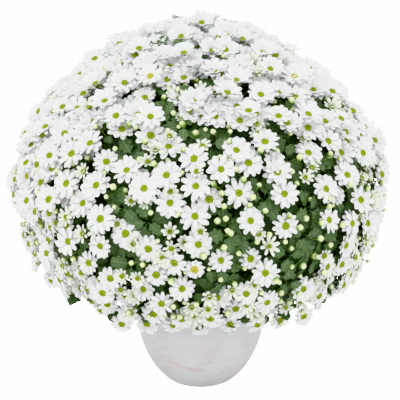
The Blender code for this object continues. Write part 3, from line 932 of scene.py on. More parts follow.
def layered_leaves(count, insets, last, size, depth, rng):
    """Leaves all over the dome at a depth, their headings at random."""
    for polar, azimuth in spiral(count, last, rng.uniform(0, 6)):
        surface = functools.partial(dome_point, inset=rng.uniform(*insets))
        place = (polar + rng.uniform(-0.05, 0.05), azimuth + rng.uniform(-0.08, 0.08))
        point, out, tangent = surface_frame(surface, *place)
        heading = turned_heading(out, tangent, rng.uniform(0, 2 * math.pi))
        length = size * rng.uniform(0.65, 1.0)
        lift = rng.uniform(-0.15, 0.15 + 0.12 * depth)
        yield leaf_at(point, out, heading, length, lift, depth, rng)


def under_leaves(count, size, rng):
    """Leaves that hang below the skirt, round the pot, lower towards the skirt's edge."""
    for i in range(count):
        share = math.sqrt((i + 0.5) / count)
        outward = level_direction(i * GOLDEN_ANGLE)
        height = UNDER_TOP - UNDER_FALL * share + rng.uniform(-0.006, 0.006)
        foot = outward * (UNDER_START + UNDER_REACH * share) + Vector((0, 0, height))
        along = (outward + Vector((0, 0, -rng.uniform(0.35, 0.9)))).normalized()
        face = (outward + Vector((0, 0, 1.2))).normalized()
        yield leaf_at(foot, face, along, size * rng.uniform(0.6, 0.85), 0.0, 1, rng)


def fringe_leaves(count, size, rng):
    """Leaves that hang just inside the skirt's edge, at the sides and the back."""
    for i in range(count):
        outward = level_direction(FRINGE_START + (i + rng.uniform(0, 1)) / count * FRINGE_SPAN)
        foot = outward * rng.uniform(*FRINGE_DISTANCES)
        foot = foot + Vector((0, 0, rng.uniform(*FRINGE_HEIGHTS)))
        along = (outward * rng.uniform(0.1, 0.6) + Vector((0, 0, -1))).normalized()
        face = (outward + Vector((0, 0, 0.2))).normalized()
        yield leaf_at(foot, face, along, size * rng.uniform(0.6, 0.9), 0.0, 2, rng)


def side_of(place):
    polar, azimuth = place
    if polar < CROWN_EDGE:
        return SIDES[0]
    return SIDES[1 + round(azimuth * SECTORS / (2 * math.pi)) % SECTORS]


def finish_growth(growth, rng):
    """Gives a growth its last size and place, and the way it faces."""
    normal = growth.normal
    budded = growth.kind == "bud"
    if growth.kind == "bloom":
        cupped = max(max(0, normal.z) ** 1.5, 0.4 * abs(normal.x) ** 3)
        growth.cupped = cupped
        growth.reach *= rng.triangular(0.84 + 0.1 * cupped, 1.03, 0.99)
        growth.reach *= 1 - SMALLER_BELOW * max(0, SMALLER_FROM - normal.z)
        uneven = UNEVEN * (1 - 0.6 * cupped)
        growth.middle += normal * rng.uniform(-uneven, uneven)
    growth.middle -= normal * dip(normal)
    axis = growth.axis if growth.gap and budded else facing(normal)
    growth.axis = wobbled(axis, rng, BUD_WOBBLE if budded else WOBBLE)


@functools.cache
def bush_plan(open_blooms, half_open, buds, leaves, leaf_size):
    """For each side: the spray nodes that it stands for, its growths and its leaves."""
    centres = settled(
        spiral(SPRAYS, SPRAY_SKIRT, SPRAY_START), SPRAY_SPACING, SPRAY_SETTLING_ROUNDS
    )
    spray_points = [dome_point(*centre) for centre in centres]
    growths = solid_growths(spray_points)
    open_the_gaps(growths)
    rng = random.Random(EXTRA_SEED)
    wanted = {"bloom": open_blooms, "young": half_open, "bud": buds}
    counts = [
        (kind, count - sum(growth.kind == kind for growth in growths))
        for kind, count in wanted.items()
    ]
    everything = growths + extra_growths(counts, growths, rng)
    for growth in everything:
        finish_growth(growth, rng)
    foliage = list(gap_leaves(growths, leaf_size, rng))
    spare = leaves - len(foliage)
    for depth, (share, insets, scale) in enumerate(LEAF_LAYERS):
        count = int(share * spare)
        foliage += layered_leaves(count, insets, SKIRT, leaf_size * scale, depth, rng)
    foliage += under_leaves(UNDER_LEAVES, leaf_size * UNDER_SCALE, rng)
    foliage += fringe_leaves(FRINGE_LEAVES, leaf_size * FRINGE_SCALE, rng)
    plan = {side: SimpleNamespace(sprays=[], growths=[], leaves=[]) for side in SIDES}
    plan["tips"] = [dome_point(*centre, TIP_INSET) for centre in centres]
    tree = tree_of(spray_points)
    sides = [side_of(centre) for centre in centres]
    for i, side in enumerate(sides):
        plan[side].sprays.append(i)
    for growth in everything:
        _, own, _ = tree.find(growth.middle)
        growth.branch_tip = plan["tips"][own]
        if growth.kind != "leaf":
            plan[sides[own]].growths.append(growth)
    for leaf in foliage:
        _, own, _ = tree.find(leaf.foot)
        plan[sides[own]].leaves.append(leaf)
    return plan


def plan_of(context):
    sizes = context.scene.bush_sizes
    return bush_plan(sizes.open_blooms, sizes.half_open, sizes.buds, sizes.leaves, sizes.leaf)


# Meshes


class Heap:
    """Collects the points, triangles and map places of many small shapes for one mesh."""

    def __init__(self):
        self.points, self.triangles, self.places = [], [], []
        self.count = 0

    def add(self, points, triangles, places):
        self.triangles.append(triangles + self.count)
        self.points.append(points.reshape(-1, 3))
        self.places.append(places.reshape(-1, 2))
        self.count += len(self.points[-1])

    def add_sheet(self, points, cell):
        """A grid of points, which takes up a whole cell of the map."""
        rows, columns = points.shape[:2]
        across, along = np.meshgrid(np.linspace(0, 1, columns), np.linspace(0, 1, rows))
        self.add(points, grid_triangles(rows, columns), cell_places(across, along, cell))

    def mesh(self, name):
        points = np.concatenate(self.points).astype(np.float32)
        corners = np.concatenate(self.triangles).astype(np.int32)
        places = np.concatenate(self.places).astype(np.float32)
        mesh = bpy.data.meshes.new(name)
        mesh.vertices.add(len(points))
        mesh.vertices.foreach_set("co", points.ravel())
        mesh.loops.add(corners.size)
        mesh.loops.foreach_set("vertex_index", corners.ravel())
        mesh.polygons.add(len(corners))
        mesh.polygons.foreach_set("loop_start", np.arange(0, corners.size, 3, dtype=np.int32))
        layer = mesh.uv_layers.new(name=MAP)
        layer.uv.foreach_set("vector", places[corners.ravel()].ravel())
        mesh.update(calc_edges=True)
        mesh.validate()
        mesh.shade_smooth()
        return mesh


def cell_places(across, along, cell):
    """Map places inside one of the sixteen cells of the map that all shapes of a kind share."""
    column, row = cell % MAP_CELLS, cell // MAP_CELLS
    x = column + CELL_EDGE + CELL_SHARE * across
    y = row + CELL_EDGE + CELL_SHARE * along
    return np.stack([x / MAP_CELLS, y / MAP_CELLS], axis=-1)


def grid_triangles(rows, columns, copies=1):
    """Triangles of a grid of points, or of several like grids one after the other."""
    corner = (np.arange(rows - 1)[:, None] * columns + np.arange(columns - 1)).ravel()
    one = np.stack([corner, corner + columns, corner + columns + 1], axis=1)
    two = np.stack([corner, corner + columns + 1, corner + 1], axis=1)
    grid = np.concatenate([one, two])
    shift = np.arange(copies)[:, None, None] * rows * columns
    return (grid[None] + shift).reshape(-1, 3)


def placed(points, growth):
    """Local points, with z along the growth's axis, put at the growth."""
    axis = growth.axis
    side = axis.cross(growth.heading).normalized()
    basis = np.array([side.cross(axis), side, axis])
    return points @ basis + np.array(growth.middle)


def turned_points(profile, sides, ripple=1.0):
    """Points of a turned shape from (radius, height) pairs, from its foot up."""
    angles = -np.linspace(0, 2 * math.pi, sides + 1)
    radius, height = np.array(profile).T[:, :, None] * np.ones(sides + 1)
    radius = radius * ripple
    return np.stack([radius * np.cos(angles), radius * np.sin(angles), height], axis=-1)


def closed(rows):
    """The same rows, each of which ends just where it starts."""
    rows[:, -1] = rows[:, 0]
    return rows


def petal_ring(draw, count, reach, root, length, width, start, end, rise, phase):
    """Grids of points of one ring of petals. Angles are above the bloom's own level."""
    jitter = draw.uniform(-PETAL_JITTER, PETAL_JITTER, count)
    turn = phase + (np.arange(count) + jitter) * 2 * math.pi / count
    long = (reach - root) * length * draw.uniform(*PETAL_LENGTHS, count)[:, None]
    wide = reach * width * draw.uniform(*PETAL_BREADTHS, count)[:, None, None]
    bend = (end - start) * PETAL_ROWS[None] ** PETAL_BEND
    slope = start + bend + draw.normal(0, PETAL_SLACK, count)[:, None]
    step = np.diff(PETAL_ROWS)[None]
    middle = (slope[:, 1:] + slope[:, :-1]) / 2
    nought = np.zeros((count, 1))
    out = np.concatenate([nought, np.cumsum(np.cos(middle) * step, 1)], 1)
    up = np.concatenate([nought, np.cumsum(np.sin(middle) * step, 1)], 1)
    lean = draw.normal(0, PETAL_TWIST, count)[:, None, None] * PETAL_ROWS[None, :, None]
    across = ACROSS[None, None] * wide * PETAL_WIDTHS[None, :, None]
    hollow = PETAL_HOLLOW * np.abs(across) - 0.03 * wide + across * np.sin(lean)
    notch = 1 + PETAL_NOTCH * (ACROSS == 0)[None, None] * (PETAL_ROWS == 1)[None, :, None]
    radial = root + (out * long)[:, :, None] * notch - hollow * np.sin(slope)[:, :, None]
    height = rise + (up * long)[:, :, None] + hollow * np.cos(slope)[:, :, None]
    cos, sin = np.cos(turn)[:, None, None], np.sin(turn)[:, None, None]
    return np.stack([radial * cos - across * sin, radial * sin + across * cos, height], axis=-1)


def petal_map(count, cells):
    across = (0.5 + 0.5 * ACROSS[None] * PETAL_WIDTHS[:, None])[None] * np.ones((count, 1, 1))
    along = PETAL_ROWS[None, :, None] * np.ones((count, 1, len(ACROSS)))
    return cell_places(across, along, cells[:, None, None])


def add_petals(heap, draw, growth, rings, cells):
    for ring in rings:
        points = petal_ring(draw, reach=growth.reach, **ring)
        count = len(points)
        triangles = grid_triangles(len(PETAL_ROWS), len(ACROSS), count)
        places = petal_map(count, draw.choice(cells, count))
        heap.add(placed(points, growth), triangles, places)


def open_rings(draw, disc, width, cupped):
    """The two rings of petals of an open bloom, from flat at 0 to a cup at 1."""
    outer, inner = draw.integers(10, 14), draw.integers(7, 11)
    age = draw.uniform(0, 1)
    width = width * draw.uniform(0.90, 1.10) * (1 + 0.18 * cupped)
    phase = draw.uniform(0, 2 * math.pi)
    cup = draw.uniform(0.12, 0.38) + 0.36 * cupped
    fall = (0.30 + 0.55 * age**3) * (1 - 0.75 * cupped)
    lower = {
        "count": outer, "root": disc * 0.5, "length": 1.10 + 0.06 * cupped, "width": width,
        "start": cup, "end": cup - fall, "rise": -0.0004, "phase": phase,
    }
    upper = {
        "count": inner, "root": disc * 0.6, "length": 0.96 + 0.06 * cupped, "width": width * 0.98,
        "start": cup + 0.20, "end": cup + 0.06 - fall, "rise": 0.0004,
        "phase": phase + math.pi / outer,
    }
    return lower, upper


def cupped_rings(draw, disc, width):
    """The rings of a half-open bloom: outer petals in a small star, the inner ones curling in."""
    age = draw.uniform(0, 1)
    phase = draw.uniform(0, 2 * math.pi)
    outer = {
        "count": draw.integers(8, 11), "root": disc * 0.5, "length": 1.15, "width": width * 1.02,
        "start": 1.05 - 0.45 * age, "end": 0.55 - 0.55 * age, "rise": -0.001, "phase": phase,
    }
    inner = {
        "count": draw.integers(6, 8), "root": disc * 0.45, "length": 0.70, "width": width * 0.85,
        "start": 1.20 - 0.30 * age, "end": 1.50 - 0.80 * age, "rise": 0.0, "phase": phase + 0.3,
    }
    return outer, inner


def disc_shape():
    """A low button of small florets, and its map places round the middle of a cell."""
    turn = np.linspace(0, 2 * math.pi, DISC_SIDES + 1)
    ripple = 1 + 0.08 * np.cos(5 * turn) + 0.06 * np.cos(3 * turn + 1.0) + 0.04 * np.cos(6 * turn)
    points = turned_points(DISC_PROFILE, DISC_SIDES, ripple)
    points[1:4:2, ::2, 2] += FLORET_RISE
    points[2:4:2, 1::2, 2] += FLORET_RISE
    radius = np.hypot(points[..., 0], points[..., 1])
    spread = np.array(DISC_MAP_RADII)[:, None] / np.maximum(radius, 1e-6)
    flat = points[..., :2] * spread[..., None] + 0.5
    return points, grid_triangles(len(DISC_PROFILE), DISC_SIDES + 1), flat


def add_disc(heap, growth, shape, radius, lift, cell):
    points, triangles, flat = shape
    local = points * radius + np.array([0, 0, lift])
    heap.add(placed(local, growth), triangles, cell_places(flat[..., 0], flat[..., 1], cell))


def add_bud(heap, growth, size, cell):
    ripple = 1 + BUD_RIPPLE * np.where(np.arange(BUD_SIDES + 1) % 2 == 0, 1.0, -1.0)
    points = turned_points(BUD_PROFILE, BUD_SIDES, ripple) * size * growth.reach
    heap.add_sheet(placed(points, growth), cell)


def add_calyx(heap, growth, profile, size, cell, points_up):
    """The green cup that holds a bloom or a bud, its edge in points."""
    points = turned_points(profile, CALYX_SIDES) * size
    points[-1, ::2, 2] += points_up * size
    points[-1, 1::2, 2] -= points_up * size
    heap.add_sheet(placed(points, growth), cell)


def tube_points(route, radii, sides):
    """Points of a tube along a route of points, and turned so that its faces look out."""
    route = np.array(route)
    ahead = np.gradient(route, axis=0)
    ahead /= np.linalg.norm(ahead, axis=1)[:, None]
    guide = np.array([0.0, 0.0, 1.0]) if abs(ahead[0, 2]) < 0.9 else np.array([1.0, 0.0, 0.0])
    side = np.cross(ahead, guide)
    side /= np.linalg.norm(side, axis=1)[:, None]
    other = np.cross(ahead, side)
    angles = -np.linspace(0, 2 * math.pi, sides + 1)[None, :, None]
    ring = np.cos(angles) * side[:, None] + np.sin(angles) * other[:, None]
    return route[:, None] + ring * np.array(radii)[:, None, None]


def add_tube(heap, route, radii, sides, cell):
    heap.add_sheet(tube_points(route, radii, sides), cell)


def bent(start, control, end, steps):
    """Points along a smooth bend."""
    return [
        start * (1 - t) ** 2 + control * 2 * t * (1 - t) + end * t * t
        for t in np.linspace(0, 1, steps)
    ]


def add_stalk(heap, growth, radius, cell):
    """A flower stalk from its spray's branch up into the calyx."""
    top = growth.middle - growth.axis * NECKS[growth.kind]
    root = growth.branch_tip + (top - growth.branch_tip).normalized() * STALK_START
    control = top - growth.axis * (top - root).length * STALK_BOW
    route = bent(root, control, top, STALK_STEPS)
    add_tube(heap, route, np.linspace(*STALK_TAPER, STALK_STEPS) * radius, 4, cell)


def add_leaf(heap, leaf, draw, cell):
    """A lobed leaf: its midrib in the middle column, its two margins on either side."""
    margin = np.array(LEAF_MARGIN)
    along, wide = margin[:, 0], margin[:, 1] * draw.uniform(0.9, 1.1, len(margin))
    half = leaf.length * draw.uniform(*LEAF_HALF_WIDTHS)
    droop = draw.uniform(*LEAF_DROOPS)
    fold = draw.uniform(*LEAF_FOLDS)
    wave = draw.uniform(*LEAF_WAVES) * leaf.length
    x = np.stack([along, along * 0.97 - 0.03 * wide, along], axis=1) * leaf.length
    y = np.stack([-wide, np.zeros(len(wide)), wide], axis=1) * half
    ripple = np.sin(along * 9 + draw.uniform(0, 6))[:, None] * np.abs(y) / half * wave
    z = np.abs(y) * fold + ripple - droop * (x / leaf.length) ** 2 * leaf.length
    basis = np.array([leaf.along, leaf.face.cross(leaf.along), leaf.face])
    points = np.stack([x, y, z], axis=-1) @ basis + np.array(leaf.foot)
    across = 0.5 + 0.5 * margin[:, 1, None] * ACROSS
    places = cell_places(across, np.stack([along, along, along], axis=1), cell)
    heap.add(points, grid_triangles(len(margin), len(ACROSS)), places)


# Pot


def pot_radius(height, inward=0.0):
    """Radius of the pot's curved wall at a height, or of the same curve moved inward."""
    up = (height - POT_BELLY_HEIGHT) / (POT_BELLY_SPAN - inward)
    return (POT_BELLY_RADIUS - inward) * math.sqrt(1 - up * up)


def outer_radius(height):
    """Radius of the pot's outer face, which is a little fuller low down than its curve inside."""
    low = max(0, 1 - height / FULLER_BELOW)
    return pot_radius(height) + POT_FULLNESS * low * (2 - low)


def pot_profile():
    """(radius, height) from under the floor out, up, over the lip and down to the inside floor."""
    lip_radius = pot_radius(LIP_START) - POT_WALL / 2
    foot = [(0.0, 0.0), (outer_radius(0) * 0.5, 0.0), (outer_radius(0) - 0.0012, 0.0)]
    outside = [(outer_radius(h), h) for h in 0.0012 + np.linspace(0, 1, 44) * (LIP_START - 0.0012)]
    turns = np.linspace(0.25, math.pi - 0.25, 7)
    across = lip_radius + POT_WALL / 2 * np.cos(turns)
    lip = list(zip(across, LIP_START + (POT_HEIGHT - LIP_START) * np.sin(turns)))
    heights = np.linspace(LIP_START - 0.002, POT_FLOOR, 12)
    inside = [(pot_radius(h, POT_WALL), h) for h in heights]
    return foot + outside + lip + inside + [(0.0, POT_FLOOR)]


def brushed_relief(points):
    """Shallow rings and dents of a hand-finished wall, fading out at the flat foot."""
    height = points[..., 2]
    angle = np.arctan2(points[..., 1], points[..., 0])
    rings = np.sin(height * 950 + 1.5 * np.sin(angle * 2)) * np.sin(angle * 3 + height * 60)
    dents = np.sin(angle * 5 + height * 70) * np.sin(angle * 2 - height * 45)
    relief = (RING_DEPTH * rings + DENT_DEPTH * dents) * np.clip(height / RELIEF_START, 0, 1)
    scale = 1 + relief / RELIEF_RADIUS
    return np.stack([points[..., 0] * scale, points[..., 1] * scale, height], axis=-1)


def mound_height(share):
    """Height of the soil's mounded top at a share of the way out from its middle."""
    return SOIL_TOP + SOIL_MOUND * (1 - share**2)


def bore_drain_holes(pot):
    """Cuts the drain holes through the pot's floor."""
    bm = bmesh.new()
    for i in range(DRAIN_HOLES):
        angle = math.pi / 2 + i * 2 * math.pi / DRAIN_HOLES
        place = Vector((math.cos(angle), math.sin(angle), 0)) * DRAIN_CIRCLE
        place.z = POT_FLOOR / 2
        bmesh.ops.create_cone(
            bm, cap_ends=True, segments=32, radius1=DRAIN_RADIUS, radius2=DRAIN_RADIUS,
            depth=3 * POT_FLOOR, matrix=Matrix.Translation(place),
        )
    mesh = bpy.data.meshes.new("drain_cutters")
    bm.to_mesh(mesh)
    bm.free()
    cutter = bpy.data.objects.new("drain_cutters", mesh)
    bpy.context.scene.collection.objects.link(cutter)
    boolean = pot.modifiers.new("Drain holes", "BOOLEAN")
    boolean.object = cutter
    graph = bpy.context.evaluated_depsgraph_get()
    graph.update()
    bored = bpy.data.meshes.new_from_object(pot.evaluated_get(graph))
    pot.modifiers.clear()
    pot.data = bored
    bpy.data.objects.remove(cutter, do_unlink=True)


# Shader nodes


class Value:
    """A node's output, which sums, differences and products lead on into further nodes."""

    def __init__(self, tools, socket):
        self.tools = tools
        self.socket = socket

    def __add__(self, other):
        return self.tools.math("ADD", self, other)

    def __sub__(self, other):
        return self.tools.math("SUBTRACT", self, other)

    def __rsub__(self, other):
        return self.tools.math("SUBTRACT", other, self)

    def __mul__(self, other):
        return self.tools.math("MULTIPLY", self, other)

    def __abs__(self):
        return self.tools.math("ABSOLUTE", self)


class Tools:
    """Short ways to add nodes to a node tree and to link them."""

    def __init__(self, tree):
        self.tree = tree

    def put(self, socket, value):
        if isinstance(value, Value):
            self.tree.links.new(value.socket, socket)
        elif socket.type == "RGBA":
            socket.default_value = (*value, 1)
        else:
            socket.default_value = value

    def fill(self, node, **inputs):
        for name, value in inputs.items():
            self.put(node.inputs[name.replace("_", " ")], value)

    def node(self, kind, *inputs, **more):
        """A new node, with its first inputs, its settings, and more inputs, which have capitals."""
        made = self.tree.nodes.new("ShaderNode" + kind)
        for name, value in more.items():
            if name.islower():
                setattr(made, name, value)
        for socket, value in zip(made.inputs, inputs):
            self.put(socket, value)
        self.fill(made, **{name: value for name, value in more.items() if not name.islower()})
        return made

    def add(self, kind, *inputs, output=0, **more):
        """The output of a new node."""
        return Value(self, self.node(kind, *inputs, **more).outputs[output])

    def math(self, operation, first, second=0.0, clamp=False):
        return self.add("Math", first, second, operation=operation, use_clamp=clamp)

    def vector(self, operation, first, second=(0, 0, 0)):
        output = "Value" if operation == "LENGTH" else "Vector"
        return self.add("VectorMath", first, second, output=output, operation=operation)

    def combine(self, x, y, z=0.0):
        return self.add("CombineXYZ", x, y, z)

    def split(self, vector):
        return [Value(self, socket) for socket in self.node("SeparateXYZ", vector).outputs]

    def between(self, value, low, high, out_low=0.0, out_high=1.0):
        """The value moved from one range to another, smoothly and kept inside it."""
        numbers = (value, low, high, out_low, out_high)
        return self.add("MapRange", *numbers, interpolation_type="SMOOTHSTEP")

    def mix(self, factor, first, second):
        node = self.node("Mix", factor, data_type="RGBA")
        self.put(node.inputs[6], first)
        self.put(node.inputs[7], second)
        return Value(self, node.outputs[2])

    def noise(self, place, scale, detail=2.0, roughness=0.5):
        """Noise at a scale, or stretched by a scale for each direction."""
        if isinstance(scale, tuple):
            place = self.vector("MULTIPLY", place, scale)
            scale = 1.0
        inputs = {"Vector": place, "Scale": scale, "Detail": detail, "Roughness": roughness}
        return self.add("TexNoise", output="Fac", **inputs)

    def cells(self, place, scale):
        return self.add("TexVoronoi", output="Distance", Vector=place, Scale=scale)

    def group(self, tree, **inputs):
        node = self.node("Group", node_tree=tree, **inputs)
        return {socket.name: Value(self, socket) for socket in node.outputs}


def new_group(name, inputs, outputs):
    """An empty shader group with named sockets: a place is a vector, the rest are numbers."""
    tree = bpy.data.node_groups.new(name, "ShaderNodeTree")
    for way, names in (("INPUT", inputs), ("OUTPUT", outputs)):
        for socket in names:
            kind = "NodeSocketVector" if socket == "Place" else "NodeSocketFloat"
            tree.interface.new_socket(socket, in_out=way, socket_type=kind)
    tools = Tools(tree)
    start = tree.nodes.new("NodeGroupInput")
    end = tree.nodes.new("NodeGroupOutput")
    return tools, {socket.name: Value(tools, socket) for socket in start.outputs}, end


@functools.cache
def map_cell_group():
    """Where a point lies in its own cell of the shared map, and a number of that cell's own."""
    tools, _, end = new_group("Map cell", (), ("Across", "Along", "Chance", "Row"))
    map_place = tools.add("UVMap", uv_map=MAP)
    places = tools.vector("MULTIPLY", map_place, (MAP_CELLS, MAP_CELLS, MAP_CELLS))
    across, along, _ = tools.split(tools.vector("FRACTION", places))
    corner = tools.vector("FLOOR", places)
    tools.fill(
        end,
        Across=tools.math("MULTIPLY", across - CELL_EDGE, 1 / CELL_SHARE, clamp=True),
        Along=tools.math("MULTIPLY", along - CELL_EDGE, 1 / CELL_SHARE, clamp=True),
        Chance=tools.add("TexWhiteNoise", noise_dimensions="3D", Vector=corner),
        Row=tools.split(corner)[1],
    )
    return tools.tree


@functools.cache
def streaks_group():
    """Fine streaks that run along a petal, a bud or a stalk."""
    inputs = ("Across", "Along", "Chance", "Count")
    tools, start, end = new_group("Long streaks", inputs, ("Height", "Shade"))
    across = start["Across"] * start["Count"]
    seed = start["Chance"] * 37.0
    fine = tools.combine(across, start["Along"] * 1.3, seed)
    broad = tools.combine(across * 0.25, start["Along"], seed)
    tools.fill(end, Height=tools.noise(fine, 1.0, 1.5), Shade=tools.noise(broad, 2.0, 2.0))
    return tools.tree


@functools.cache
def grain_group():
    """Pores and lumps of clay, soil and bark, from a place in space."""
    tools, start, end = new_group("Grain", ("Place", "Scale", "Pores"), ("Height", "Shade"))
    place, scale = start["Place"], start["Scale"]
    pores = (1.0 - tools.between(tools.cells(place, scale), 0.0, 0.35)) * start["Pores"]
    height = tools.noise(place, scale, 5.0, 0.6) - pores
    tools.fill(end, Height=height, Shade=tools.noise(place, scale * 0.07, 3.0))
    return tools.tree


# Materials


class Surface(Tools):
    """A new material: its Principled shader, and the short ways to add nodes."""

    def __init__(self, name, roughness):
        self.material = bpy.data.materials.new(name)
        self.material.use_nodes = True
        super().__init__(self.material.node_tree)
        self.shader = self.tree.nodes["Principled BSDF"]
        self.fill(self.shader, Roughness=roughness)

    def object_place(self):
        return self.add("TexCoord", output="Object")

    def map_cell(self):
        return self.group(map_cell_group())

    def streaks(self, cell, count):
        places = {name: cell[name] for name in ("Across", "Along", "Chance")}
        return self.group(streaks_group(), Count=count, **places)

    def finished(self, colour, roughness, height, strength, distance):
        """The material, with the colour, the roughness and the relief on its shader."""
        normal = self.add("Bump", Strength=strength, Distance=distance, Height=height)
        self.fill(self.shader, Base_Color=colour, Roughness=roughness, Normal=normal)
        return self.material


@functools.cache
def petal_material():
    """White petals, green-yellow at the root, with fine furrows and faint cool painted shade in
    streaks.
    """
    colours = bpy.context.scene.bush_colours
    tools = Surface("white_petal", 0.58)
    cell = tools.map_cell()
    streaks = tools.streaks(cell, 9.0)
    # Painted shade: cool grey laid over the petals in random streaks, stronger in some cells.
    painted_shade = cell["Chance"] * tools.between(streaks["Shade"], 0.30, 0.70, 0, 0.85)
    white = tools.mix(painted_shade, colours.petal, colours.petal_painted_shade)
    young = tools.between(cell["Row"], *LAST_ROW)
    greened = tools.mix(young * 0.16, white, colours.petal_root)
    root = tools.between(cell["Along"], 0.02, young * 0.34 + 0.16, 0.85, 0.0)
    colour = tools.mix(root, greened, colours.petal_root)
    tools.fill(tools.shader, Specular_IOR_Level=0.2)
    lit_through = tools.add("BsdfTranslucent", colour)
    white_shader = Value(tools, tools.shader.outputs[0])
    both = tools.add("MixShader", LIT_THROUGH, white_shader, lit_through)
    tools.fill(tools.tree.nodes["Material Output"], Surface=both)
    roughness = tools.between(streaks["Shade"], 0.2, 0.8, 0.50, 0.66)
    return tools.finished(colour, roughness, streaks["Height"], 0.35, 0.0004)


@functools.cache
def disc_material():
    """Close-set florets, yellow-green, golden in the discs of the map's last row, with painted shade
    between the florets.
    """
    colours = bpy.context.scene.bush_colours
    tools = Surface("yellow_disc", 0.7)
    cell = tools.map_cell()
    x = cell["Across"] - 0.5
    y = cell["Along"] - 0.5
    radius = tools.vector("LENGTH", tools.combine(x, y))
    florets = tools.cells(tools.combine(x, y, cell["Chance"] * 20.0), 15.0)
    florets = tools.between(florets, 0.05, 0.65, 1.0, 0.0)
    green = tools.mix(tools.between(radius, 0.04, 0.34), colours.disc_middle, colours.disc)
    golden = tools.between(cell["Row"], *LAST_ROW, 0.0, 0.85)
    ringed = golden * tools.between(radius, 0.02, 0.25, 0.55, 1.0)
    base = tools.mix(ringed, green, colours.disc_gold)
    # Painted shade: darker between the florets.
    colour = tools.mix(tools.between(florets, 0.0, 0.6, 0.55, 0.0), base, colours.disc_gap_shade)
    roughness = tools.between(florets, 0.0, 1.0, 0.85, 0.55)
    return tools.finished(colour, roughness, florets, 0.8, 0.0005)


@functools.cache
def leaf_material():
    """Dark green blade, paler veins and underside. Lower rows of the map are the outer leaves; the
    rows above hold leaves deeper in the bush, darkened with painted shade.
    """
    colours = bpy.context.scene.bush_colours
    tools = Surface("green_leaf", 0.45)
    cell = tools.map_cell()
    away = abs(cell["Across"] - 0.5) * 2
    midrib = tools.between(away, 0.015, 0.085, 1.0, 0.0)
    phase = tools.math("FRACT", (cell["Along"] - away * 0.24) * 7.0)
    side_veins = tools.between(abs(phase - 0.5), 0.02, 0.13, 0.75, 0.0)
    veins = tools.math("MAXIMUM", midrib, side_veins)
    place = tools.combine(cell["Across"], cell["Along"], cell["Chance"] * 30.0)
    patches = tools.noise(place, 4.0, 4.0, 0.6)
    light = tools.between(patches, 0.35, 0.75) * 0.65
    lighter = tools.math("ADD", light, cell["Chance"] * 0.35, clamp=True)
    blade = tools.mix(lighter, colours.leaf, colours.leaf_light)
    veined = tools.mix(veins * 0.75, blade, colours.vein)
    back = tools.add("NewGeometry", output="Backfacing") * 0.55
    backed = tools.mix(back, veined, colours.leaf_back)
    # Painted shade: each row of the map deeper into the bush is darker.
    depth = tools.between(cell["Row"], 0.0, 3.0, 0.0, 0.82)
    colour = tools.mix(depth, backed, colours.leaf_deep_shade)
    roughness = tools.between(patches, 0.3, 0.7, 0.40, 0.60)
    return tools.finished(colour, roughness, patches * 0.5 - veins, 0.5, 0.0007)


@functools.cache
def bud_material():
    """Pale folded petals over a green foot."""
    colours = bpy.context.scene.bush_colours
    tools = Surface("pale_bud", 0.55)
    cell = tools.map_cell()
    streaks = tools.streaks(cell, 26.0)
    top = tools.between(cell["Along"] + cell["Chance"] * 0.25, 0.34, 1.0)
    smooth = tools.mix(top, colours.bud_foot, colours.bud_top)
    folds = tools.between(streaks["Height"], 0.30, 0.55, 0.45, 0.0)
    colour = tools.mix(folds, smooth, colours.bud_foot)
    roughness = tools.between(streaks["Shade"], 0.2, 0.8, 0.45, 0.65)
    return tools.finished(colour, roughness, streaks["Height"], 0.6, 0.0006)


@functools.cache
def stalk_material():
    """Ribbed olive-green stalks and calyx cups."""
    colours = bpy.context.scene.bush_colours
    tools = Surface("green_stalk", 0.55)
    cell = tools.map_cell()
    streaks = tools.streaks(cell, 12.0)
    lighter = tools.between(streaks["Shade"] + cell["Chance"], 0.4, 1.3, 0.0, 0.9)
    colour = tools.mix(lighter, colours.stalk, colours.bud_foot)
    roughness = tools.between(streaks["Shade"], 0.2, 0.8, 0.5, 0.65)
    return tools.finished(colour, roughness, streaks["Height"], 0.5, 0.0004)


@functools.cache
def bark_material():
    """Green-brown old stems with long cracks."""
    colours = bpy.context.scene.bush_colours
    tools = Surface("stem_bark", 0.8)
    place = tools.vector("MULTIPLY", tools.object_place(), (1, 1, 0.25))
    grain = tools.group(grain_group(), Place=place, Scale=700.0, Pores=0.3)
    old = tools.between(grain["Shade"], 0.35, 0.65)
    colour = tools.mix(old, colours.stalk, colours.bark)
    roughness = tools.between(grain["Shade"], 0.3, 0.7, 0.7, 0.9)
    return tools.finished(colour, roughness, grain["Height"], 0.7, 0.0008)


def scuff_mask(tools, place):
    """Where the whitewash is worn through, as soft patches on the wall."""
    mask = 0.0
    for degrees, height, half_width, half_height, strength in SCUFFS:
        angle = math.radians(degrees)
        radius = pot_radius(height)
        spot = (radius * math.sin(angle), -radius * math.cos(angle), height)
        away = tools.vector("SUBTRACT", place, spot)
        turned = tools.add("VectorRotate", rotation_type="Z_AXIS", Vector=away, Angle=-angle)
        shares = (1 / half_width, 0.3 / half_width, 1 / half_height)
        flat = tools.vector("MULTIPLY", turned, shares)
        patch = tools.between(tools.vector("LENGTH", flat), 0.2, 1.3, strength, 0.0)
        mask = tools.math("MAXIMUM", mask, patch)
    return mask


